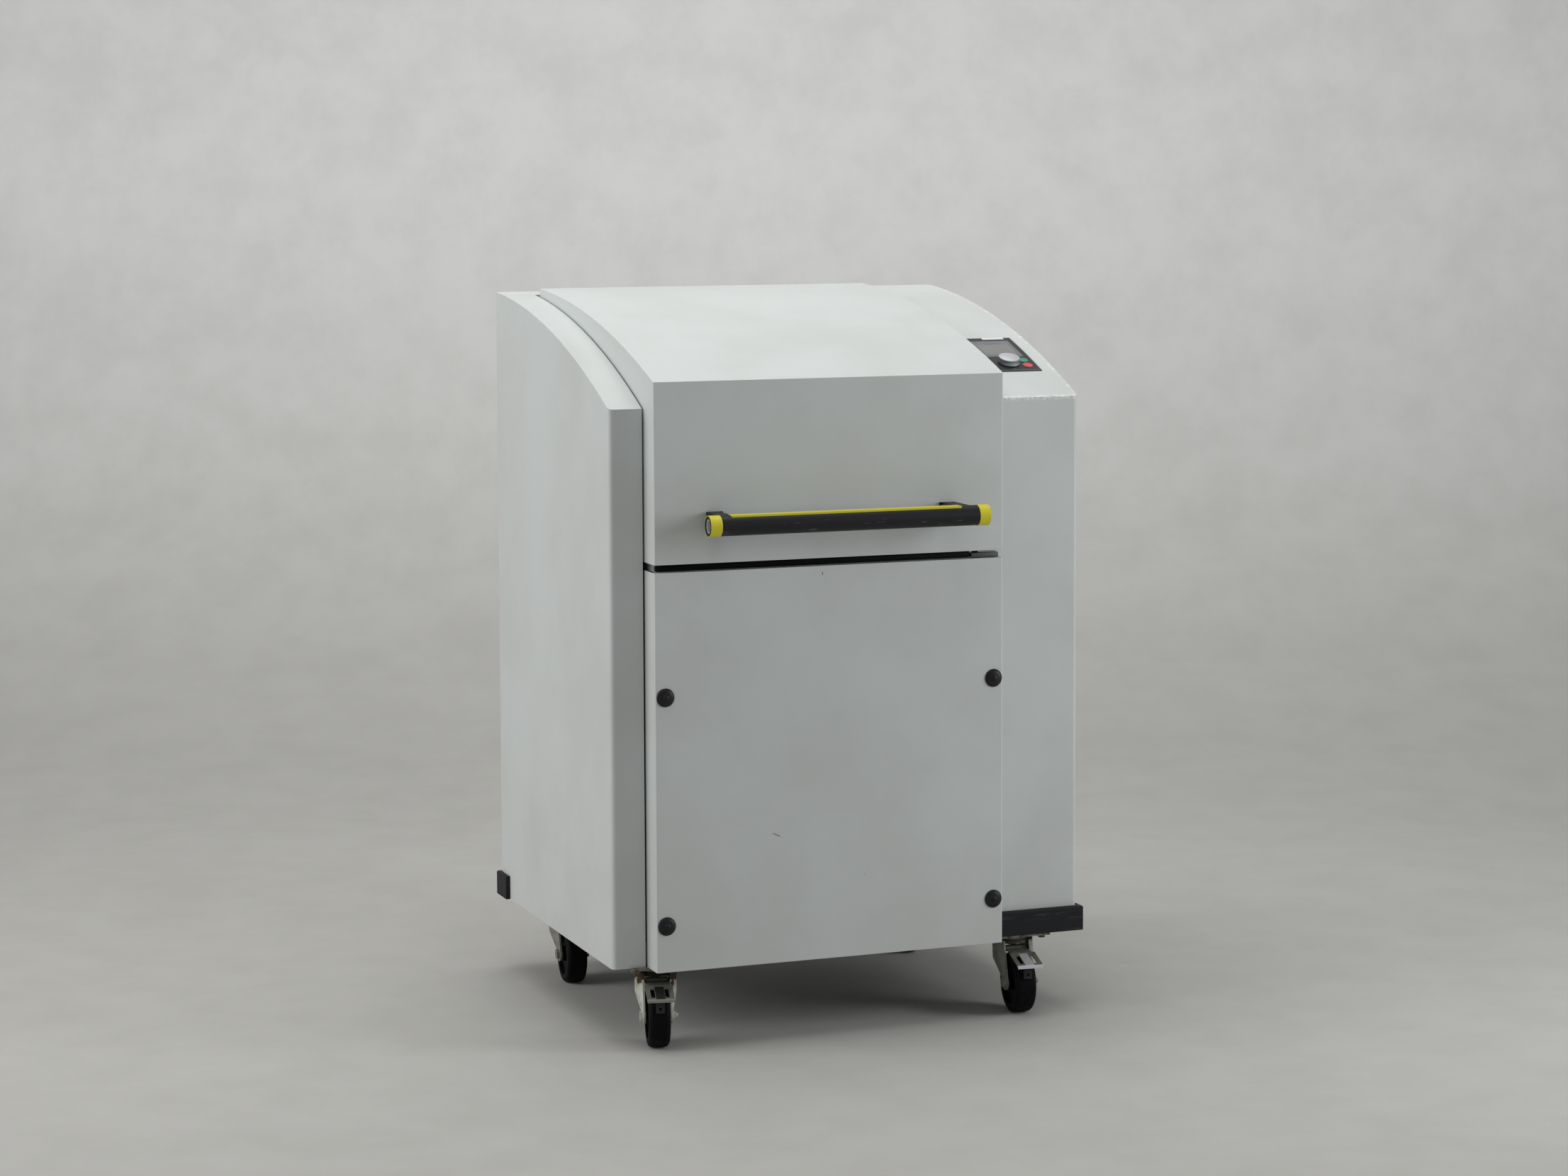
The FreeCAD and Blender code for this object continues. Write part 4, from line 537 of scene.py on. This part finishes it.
# %% Yellow trim with grey plugs
TUBE_BORE = 0.012
PLUG_RING = (TUBE_BORE * 0.72, TUBE_BORE * 0.78)
PLUG_GREY = (0.13, 0.135, 0.14)
PLUG_PALE = (0.42, 0.43, 0.43)
tube_low, tube_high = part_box("handle_tube")
tube_axis = (tube_low + tube_high) / 2
trim = Finish("yellow_trim", YELLOW, 0.42)
across = trim.axis("Y") - tube_axis.y
above = trim.axis("Z") - tube_axis.z
from_axis = (across * across + above * above) ** 0.5
speckle = trim.noise(1800.0, 2.0)
plug_tone = trim.mix(from_axis.step(*PLUG_RING), PLUG_GREY, PLUG_PALE)
trim.show(
    Base_Color=trim.mix(from_axis > TUBE_BORE + 0.0002, plug_tone, YELLOW),
    Roughness=0.38 + speckle * 0.12,
)
trim.bump(speckle, 0.00004)
yellow_trim = trim.material

# %% [markdown]
# ## Tyres
# The wheels are hard black rubber. Floor dust gathers at the tread, so it follows the height
# over the floor.

# %% Tyre
TYRE = (0.0025, 0.0025, 0.003)
FLOOR_DUST = (0.15, 0.14, 0.12)
tyre_finish = Finish("tyre_black", TYRE, 0.6, Specular_IOR_Level=0.10)
dirt = tyre_finish.noise(70.0, 5.0, 0.65)
low = 1.0 - tyre_finish.axis("Z").step(0.0, 0.05)
dusty = dirt.step(0.45, 0.75) * (0.01 + low * 0.08)
tyre_finish.show(
    Base_Color=tyre_finish.mix(dusty, TYRE, FLOOR_DUST),
    Roughness=0.5 + dirt * 0.25,
)
tyre_finish.bump(dirt, 0.0002)
tyre_black = tyre_finish.material

# %% [markdown]
# ## Control film and display
# The panel is a dark printed film. Its grey border, the bare label strip at its back edge and
# the display are separate thin pieces. The display is a grey pane with a pale rim on a darker
# cover, and a clear coat makes it shine.

# %% Film and display
PANE = (0.215, 0.215, 0.205)
PANE_CLOUD = (0.26, 0.26, 0.25)


def printed(name, colour, roughness=0.4):
    """Film with a very fine grain."""
    return grained(name, colour, roughness, grain=2600.0, depth=0.00002)


film_dark = printed("film_dark", (0.018, 0.019, 0.021), 0.36)
film_grey = printed("film_grey", (0.10, 0.105, 0.11))
film_pale = printed("film_pale", (0.30, 0.305, 0.305))
display_cover = printed("display_cover", (0.165, 0.172, 0.182), 0.3)
label_white = printed("label_white", (0.74, 0.75, 0.74))
display_finish = Finish("display_pane", PANE, 0.3, 0.0, Coat_Weight=0.8, Coat_Roughness=0.08)
cloud = display_finish.noise(60.0, 2.0)
display_finish.show(Base_Color=display_finish.mix(cloud * 0.4, PANE, PANE_CLOUD))
display_pane = display_finish.material

# %% [markdown]
# ## Dressing the solids
# Every node that stays gets its finish in its own slots. The first table follows the record's
# slots, so a node that is not named anywhere still gets the right finish. The second one holds
# the nodes with a finish of their own.

# %% Finishes of the nodes
finish_of_slot = {
    "cabinet_paint": cover_paint,
    "frame_paint": frame_paint,
    "motor_paint": motor_enamel,
    "black_plastic": black_plastic,
    "grey_plastic": grey_plastic,
    "bumper_rubber": bumper_rubber,
    "stainless": stainless,
    "steel": steel,
    "cast_iron": cast_iron,
    "cast_aluminium": cast_aluminium,
    "belt_rubber": belt_rubber,
    "panel_film": film_dark,
    "zinc": dull_fork,
    "black_tube": handle_black,
    "yellow_plastic": yellow_trim,
    "silver_knob": silver,
    "green_key": green_key,
    "red_key": red_key,
    "black_tyre": tyre_black,
}
slot_of_node = {part["node"]: part["material_slot"] for part in frame["record"]["subparts"]}
own_finish = {
    "front_panel": panel_paint,
    "right_side_cover": pod_paint,
    "hood_shell": hood_paint,
    "caster_plates": rust_and_shade_plate,
    "caster_fork_front_left": left_fork,
    "caster_fork_front_right": right_fork,
    "brake_pedal_front_left": left_pedal,
    "brake_pedal_front_right": right_pedal,
}
own_finish.update({name: jar_steel for name in nodes if name.startswith(("grinding_jar", "jar_lid"))})
bodies = frame["record"]["behaviour"]["bodies"]
body_of_node = {name: body for body, held in bodies.items() for name in held}


def finish_for(name):
    """A node's own finish, or else the one of its slot."""
    return own_finish.get(name, finish_of_slot[slot_of_node[name]])


for name, node in nodes.items():
    node.data.materials.clear()
    node.data.materials.append(finish_for(name))
print("dressed", len(nodes), "nodes")

# %% [markdown]
# ## Rounded edges
# A bent or moulded edge is never razor sharp, and the light that runs along it is what makes
# sheet metal look like sheet metal. A copy of the solid's mesh has its doubles merged, its
# flat faces joined and its sharp edges bevelled, and it stands in for the node.

# %% Helpers for pieces
MERGE_NEAR = 0.000002
FLAT_WITHIN = math.radians(0.6)


def firm_normals(mesh, limit=40.0):
    """Weighs normals by area, so that a wide flat face stays flat up to its rounded edge."""
    closeness = math.cos(math.radians(limit))
    faces = [(face.normal.copy(), face.area, tuple(face.vertices)) for face in mesh.polygons]
    around = [[] for _ in mesh.vertices]
    for normal, area, corners in faces:
        for corner in corners:
            around[corner].append((normal, area))
    normals = []
    for own, area, corners in faces:
        for corner in corners:
            total = Vector()
            for normal, weight in around[corner]:
                if normal.dot(own) > closeness:
                    total += normal * weight
            normals.append(total.normalized())
    mesh.normals_split_custom_set(normals)


def finished(bm, name, body, material, smooth_angle=35.0):
    """Makes a bmesh a piece that rides on a body."""
    mesh = bpy.data.meshes.new(name)
    bm.to_mesh(mesh)
    bm.free()
    for polygon in mesh.polygons:
        polygon.use_smooth = True
    mesh.set_sharp_from_angle(angle=math.radians(smooth_angle))
    mesh.materials.append(material)
    piece = bpy.data.objects.new(name, mesh)
    bpy.context.scene.collection.objects.link(piece)
    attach(piece, body)
    return piece


def rounded(name, width, segments=2, sharp=38.0):
    """A copy of a node with bevelled edges, in the node's place."""
    bm = bmesh.new()
    bm.from_mesh(nodes[name].data)
    bmesh.ops.remove_doubles(bm, verts=bm.verts, dist=MERGE_NEAR)
    bmesh.ops.dissolve_limit(bm, angle_limit=FLAT_WITHIN, verts=bm.verts, edges=bm.edges)
    limit = math.radians(sharp)
    edges = [edge for edge in bm.edges if edge.is_manifold and edge.calc_face_angle(0.0) > limit]
    bmesh.ops.bevel(
        bm,
        geom=edges,
        offset=width,
        offset_type="OFFSET",
        segments=segments,
        profile=0.5,
        affect="EDGES",
        clamp_overlap=True,
        material=-1,
    )
    piece = finished(bm, name + "_rounded", body_of_node[name], finish_for(name))
    firm_normals(piece.data)
    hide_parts(name)


# %% Sheet metal, bumpers, handle and castings with rounded edges
for name in ("left_side_cover", "right_side_cover", "hood_shell", "front_panel", "rear_cover"):
    rounded(name, width=0.0008, segments=3)
rounded("corner_bumpers", width=0.0010)
for name in ("handle_tube", "handle_feet", "handle_trim"):
    rounded(name, width=0.0004)
for name in ("lid_lock", "drive_plate", "inverter_box", "motor"):
    rounded(name, width=0.0015)

# %% [markdown]
# ## Cover caps
# The lower panel is held by four screws under soft black caps. A cap is a flat dome with a
# shallow ring and a rounded button, so its outline is drawn once and spun about the screw.

# %% Spinning an outline
POLE_NEAR = 0.000005


def spun(outline, steps=48):
    """A closed solid from (radius, height) points, spun about Z."""
    bm = bmesh.new()
    verts = [bm.verts.new((radius, 0.0, z)) for radius, z in outline]
    edges = [bm.edges.new(pair) for pair in zip(verts, verts[1:])]
    bmesh.ops.spin(
        bm,
        geom=verts + edges,
        axis=(0, 0, 1),
        cent=(0, 0, 0),
        angle=math.tau,
        steps=steps,
        use_merge=True,
    )
    bmesh.ops.remove_doubles(bm, verts=bm.verts, dist=POLE_NEAR)
    bmesh.ops.recalc_face_normals(bm, faces=bm.faces)
    return bm


def moved(bm, matrix):
    """The same bmesh in another place."""
    bmesh.ops.transform(bm, matrix=matrix, verts=bm.verts)
    return bm


def gathered(meshes):
    """Several bmeshes as one."""
    whole = bmesh.new()
    for bm in meshes:
        mesh = bpy.data.meshes.new("part")
        bm.to_mesh(mesh)
        bm.free()
        whole.from_mesh(mesh)
        bpy.data.meshes.remove(mesh)
    return whole


TO_FRONT = Matrix.Rotation(math.radians(90), 4, "X")

# %% Caps
CAP_RADIUS = 0.015
cap_outline = [
    (0.0, 0.0075),
    (0.0018, 0.0074),
    (0.0034, 0.0070),
    (0.0046, 0.0062),
    (0.0052, 0.0053),
    (0.0060, 0.0052),
    (0.0080, 0.0050),
    (0.0110, 0.0042),
    (0.0132, 0.0030),
    (0.0145, 0.0018),
    (CAP_RADIUS, 0.0009),
    (CAP_RADIUS, 0.0),
    (0.0, 0.0),
]
low_corner, high_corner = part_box("cover_caps")
cap_x = (low_corner.x + CAP_RADIUS, high_corner.x - CAP_RADIUS)
cap_z = (low_corner.z + CAP_RADIUS, high_corner.z - CAP_RADIUS)
panel_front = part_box("front_panel")[0].y
caps = []
for x in cap_x:
    for z in cap_z:
        caps.append(moved(spun(cap_outline), Matrix.Translation((x, panel_front, z)) @ TO_FRONT))
cap_piece = finished(gathered(caps), "soft_caps", "cabinet", black_plastic)
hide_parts("cover_caps")
print("caps at x", [round(x, 4) for x in cap_x], "z", [round(z, 4) for z in cap_z])

# %% [markdown]
# ## Screws in the rear cover
# The rear cover is screwed to the frame along its two sides. A ray from behind finds the sheet
# under each screw, so a head sits on it. The heads are low domes with a socket.

# %% Rear screws
TO_BACK = Matrix.Rotation(math.radians(-90), 4, "X")
SCREW_INSET = 0.016
SCREW_ROWS = 4
LOWEST_SCREW = 0.070
HIGHEST_SCREW = 0.060


def tree_of(name):
    """A node's faces, to be found by rays."""
    bm = bmesh.new()
    bm.from_mesh(nodes[name].data)
    tree = BVHTree.FromBMesh(bm)
    bm.free()
    return tree


rear_tree = tree_of("rear_cover")
rear_low, rear_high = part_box("rear_cover")
screw_outline = [
    (0.0, 0.0008),
    (0.0014, 0.0008),
    (0.0016, 0.0021),
    (0.0028, 0.0018),
    (0.0038, 0.0009),
    (0.0040, 0.0),
    (0.0, 0.0),
]
low_row, high_row = rear_low.z + LOWEST_SCREW, rear_high.z - HIGHEST_SCREW
screws = []
for x in (rear_low.x + SCREW_INSET, rear_high.x - SCREW_INSET):
    for row in range(SCREW_ROWS):
        z = low_row + (high_row - low_row) * row / (SCREW_ROWS - 1)
        skin = rear_tree.ray_cast(Vector((x, 1.0, z)), Vector((0, -1, 0)))[0]
        screws.append(moved(spun(screw_outline, 20), Matrix.Translation(skin) @ TO_BACK))
        print("rear screw at", [round(value, 3) for value in skin])
finished(gathered(screws), "rear_screws", "cabinet", steel)

# %% [markdown]
# ## Control panel
# The film lies on a roof that curves from back to front. Thin plates drape over it: a ray from
# above finds the film's height at each row of a plate, beside the knob and the keys, and the
# plate is lifted a little off it. There is a grey border at three edges, a bare label strip at
# the back edge, and the display with its rim and its cover.

# %% Draped plates
PLATE_STEPS = 10
PLATE_ROOT = 0.0004
BESIDE_KEYS = 0.0045
film_tree = tree_of("control_panel")
film_low, film_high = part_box("control_panel")
film_size = film_high - film_low
edge_x = film_low.x + BESIDE_KEYS


def on_film(x, y):
    """The height of the panel's skin at a place, found from above."""
    hit = film_tree.ray_cast(Vector((x, y, film_high.z + 0.05)), Vector((0, 0, -1)))[0]
    return hit.z


def draped(name, x0, x1, y0, y1, material, lift):
    """A thin plate over the film between two corners."""
    bm = bmesh.new()
    rows = []
    for row in range(PLATE_STEPS + 1):
        y = y0 + (y1 - y0) * row / PLATE_STEPS
        height = on_film(edge_x, y)
        rows.append([(x, y, height) for x in (x0, x1)])
    top = [[bm.verts.new((x, y, z + lift)) for x, y, z in row] for row in rows]
    low = [[bm.verts.new((x, y, z - PLATE_ROOT)) for x, y, z in row] for row in rows]
    for row in range(PLATE_STEPS):
        for grid in (top, low):
            bm.faces.new((grid[row][0], grid[row][1], grid[row + 1][1], grid[row + 1][0]))
        for side in (0, 1):
            bm.faces.new((top[row][side], low[row][side], low[row + 1][side], top[row + 1][side]))
    for row in (0, PLATE_STEPS):
        bm.faces.new((top[row][0], top[row][1], low[row][1], low[row][0]))
    bmesh.ops.recalc_face_normals(bm, faces=bm.faces)
    finished(bm, name, "cabinet", material)


# %% Border, label strip and display
def film_place(x_share, back_share):
    """A place on the film, from shares of its width from the left and its length from the back."""
    return film_low.x + x_share * film_size.x, film_high.y - back_share * film_size.y


def film_plate(name, left, right, back, front, material, lift=0.0003):
    """A draped plate between shares of the film's width and length."""
    x0, y1 = film_place(left, back)
    x1, y0 = film_place(right, front)
    draped(name, x0, x1, y0, y1, material, lift)


film_plate("film_left", 0.010, 0.026, 0.015, 0.985, film_grey)
film_plate("film_right", 0.974, 0.990, 0.015, 0.985, film_grey)
film_plate("film_front", 0.026, 0.974, 0.974, 0.985, film_grey)
film_plate("label_strip", 0.48, 0.867, 0.004, 0.058, label_white, 0.0006)
film_plate("display_cover", 0.100, 0.900, 0.112, 0.600, display_cover, 0.0004)
film_plate("display_rim", 0.262, 0.816, 0.242, 0.540, film_pale, 0.0007)
film_plate("display", 0.272, 0.806, 0.249, 0.533, display_pane, 0.0009)
print("film from y", round(film_low.y, 4), "to", round(film_high.y, 4))

# %% [markdown]
# ## Seal and latch behind the hood's lower edge
# In the gap between the hood and the lower panel a black rubber seal lies on the deck's apron,
# and at its right end the latch plate shows.

# %% Seal and latch plate
APRON = 0.7742
SEAL_INSET = 0.005
SEAL_ENDS = (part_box("front_panel")[0].x + SEAL_INSET, 0.197)
SEAL_DEPTH = (-0.300, -0.291)
SEAL_TOP = 0.7850
LATCH_ENDS = (0.199, 0.247)
LATCH_DEPTH = (-0.301, -0.289)
LATCH_TOP = 0.7815


def block(low, high, bevel=0.0006):
    """A box between two corners with rounded edges."""
    bm = bmesh.new()
    bmesh.ops.create_cube(bm, size=1.0)
    low, high = Vector(low), Vector(high)
    bmesh.ops.scale(bm, vec=high - low, verts=bm.verts)
    bmesh.ops.translate(bm, vec=(low + high) / 2, verts=bm.verts)
    bmesh.ops.bevel(bm, geom=bm.edges[:], offset=bevel, segments=2, profile=0.5, affect="EDGES")
    return bm


seal = block(*zip(SEAL_ENDS, SEAL_DEPTH, (APRON, SEAL_TOP)), bevel=0.003)
finished(seal, "seal", "cabinet", tyre_black)
latch_plate = block(*zip(LATCH_ENDS, LATCH_DEPTH, (APRON, LATCH_TOP)))
finished(latch_plate, "latch_plate", "cabinet", frame_paint)

# %% [markdown]
# ## Light and background
# The photograph has a pale mottled backdrop that runs into a pale floor, a broad light from
# above, another from the left and a smaller one from the right front. The backdrop is a sheet
# that curves up behind the machine, and its upper part is painted much lighter than its floor
# part: painted light on the one sheet. Its back is clear, so that the machine can also be seen
# from behind.

# %% Backdrop
FLOOR_REACH = 9.0
FLOOR_TONES = ((0.372, 0.366, 0.340), (0.313, 0.306, 0.283))
WALL_LIT_TONES = ((0.82, 0.815, 0.805), (0.67, 0.665, 0.65))
floor_finish = Finish("backdrop", (0.40, 0.395, 0.375), 0.9)
mottle = floor_finish.noise(7.0, 6.0, 0.65).step(0.3, 0.75)
height = floor_finish.axis("Z")
floor_tone = floor_finish.mix(mottle * 0.35, *FLOOR_TONES)
lit_wall_tone = floor_finish.mix(mottle * 0.5, *WALL_LIT_TONES)
seen_from_behind = floor_finish.node("NewGeometry", out="Backfacing")
floor_finish.show(
    # With height the tone turns from the floor tones to the much lighter wall tones: painted light.
    Base_Color=floor_finish.mix(height.step(-0.6, 1.6), floor_tone, lit_wall_tone),
    Alpha=1.0 - seen_from_behind,
)
bm = bmesh.new()
sweep = [(-FLOOR_REACH, 0.0), (1.6, 0.0), (2.2, 0.05), (2.7, 0.2)]
sweep += [(3.1, 0.5), (3.35, 0.95), (3.4, 1.6), (3.4, 7.0)]
line = [bm.verts.new((-FLOOR_REACH, y, z)) for y, z in sweep]
edges = [bm.edges.new(pair) for pair in zip(line, line[1:])]
grown = bmesh.ops.extrude_edge_only(bm, edges=edges)["geom"]
far_side = [item for item in grown if isinstance(item, bmesh.types.BMVert)]
bmesh.ops.translate(bm, vec=(2 * FLOOR_REACH, 0, 0), verts=far_side)
bm.normal_update()
downward = [face for face in bm.faces if face.normal.z - face.normal.y < 0]
bmesh.ops.reverse_faces(bm, faces=downward)
print("backdrop faces turned:", len(downward))
mesh = bpy.data.meshes.new("backdrop")
bm.to_mesh(mesh)
bm.free()
for polygon in mesh.polygons:
    polygon.use_smooth = True
mesh.materials.append(floor_finish.material)
backdrop = bpy.data.objects.new("backdrop", mesh)
backdrop.rotation_euler.z = -yaw
bpy.context.scene.collection.objects.link(backdrop)


# %% Lamps
def soft_lamp(name, place, aim, size, watts, colour=(1.0, 1.0, 1.0)):
    """A rectangular lamp at a place, turned to another."""
    data = bpy.data.lights.new(name, "AREA")
    data.shape = "RECTANGLE"
    data.size, data.size_y = size
    data.energy = watts
    data.color = colour
    lamp = bpy.data.objects.new(name, data)
    lamp.location = place
    lamp.rotation_euler = (Vector(aim) - Vector(place)).to_track_quat("-Z", "Y").to_euler()
    bpy.context.scene.collection.objects.link(lamp)


soft_lamp(
    "overhead",
    place=(-0.2, 0.3, 3.6),
    aim=(0.0, 0.1, 1.0),
    size=(3.2, 2.4),
    watts=66.0,
    colour=(1.0, 1.0, 0.985),
)
soft_lamp("left", place=(-4.2, 0.3, 2.2), aim=(0.0, 0.1, 0.6), size=(2.4, 2.2), watts=80.0)
soft_lamp(
    "right_front",
    place=(2.7, -1.9, 1.45),
    aim=(0.0, -0.2, 0.7),
    size=(1.1, 1.6),
    watts=43.0,
    colour=(0.95, 0.975, 1.0),
)

world = bpy.data.worlds.new("studio")
bpy.context.scene.world = world
world.use_nodes = True
background = world.node_tree.nodes["Background"]
background.inputs["Color"].default_value = (0.94, 0.95, 0.97, 1.0)
background.inputs["Strength"].default_value = 0.30
bpy.context.scene.view_settings.view_transform = "Standard"
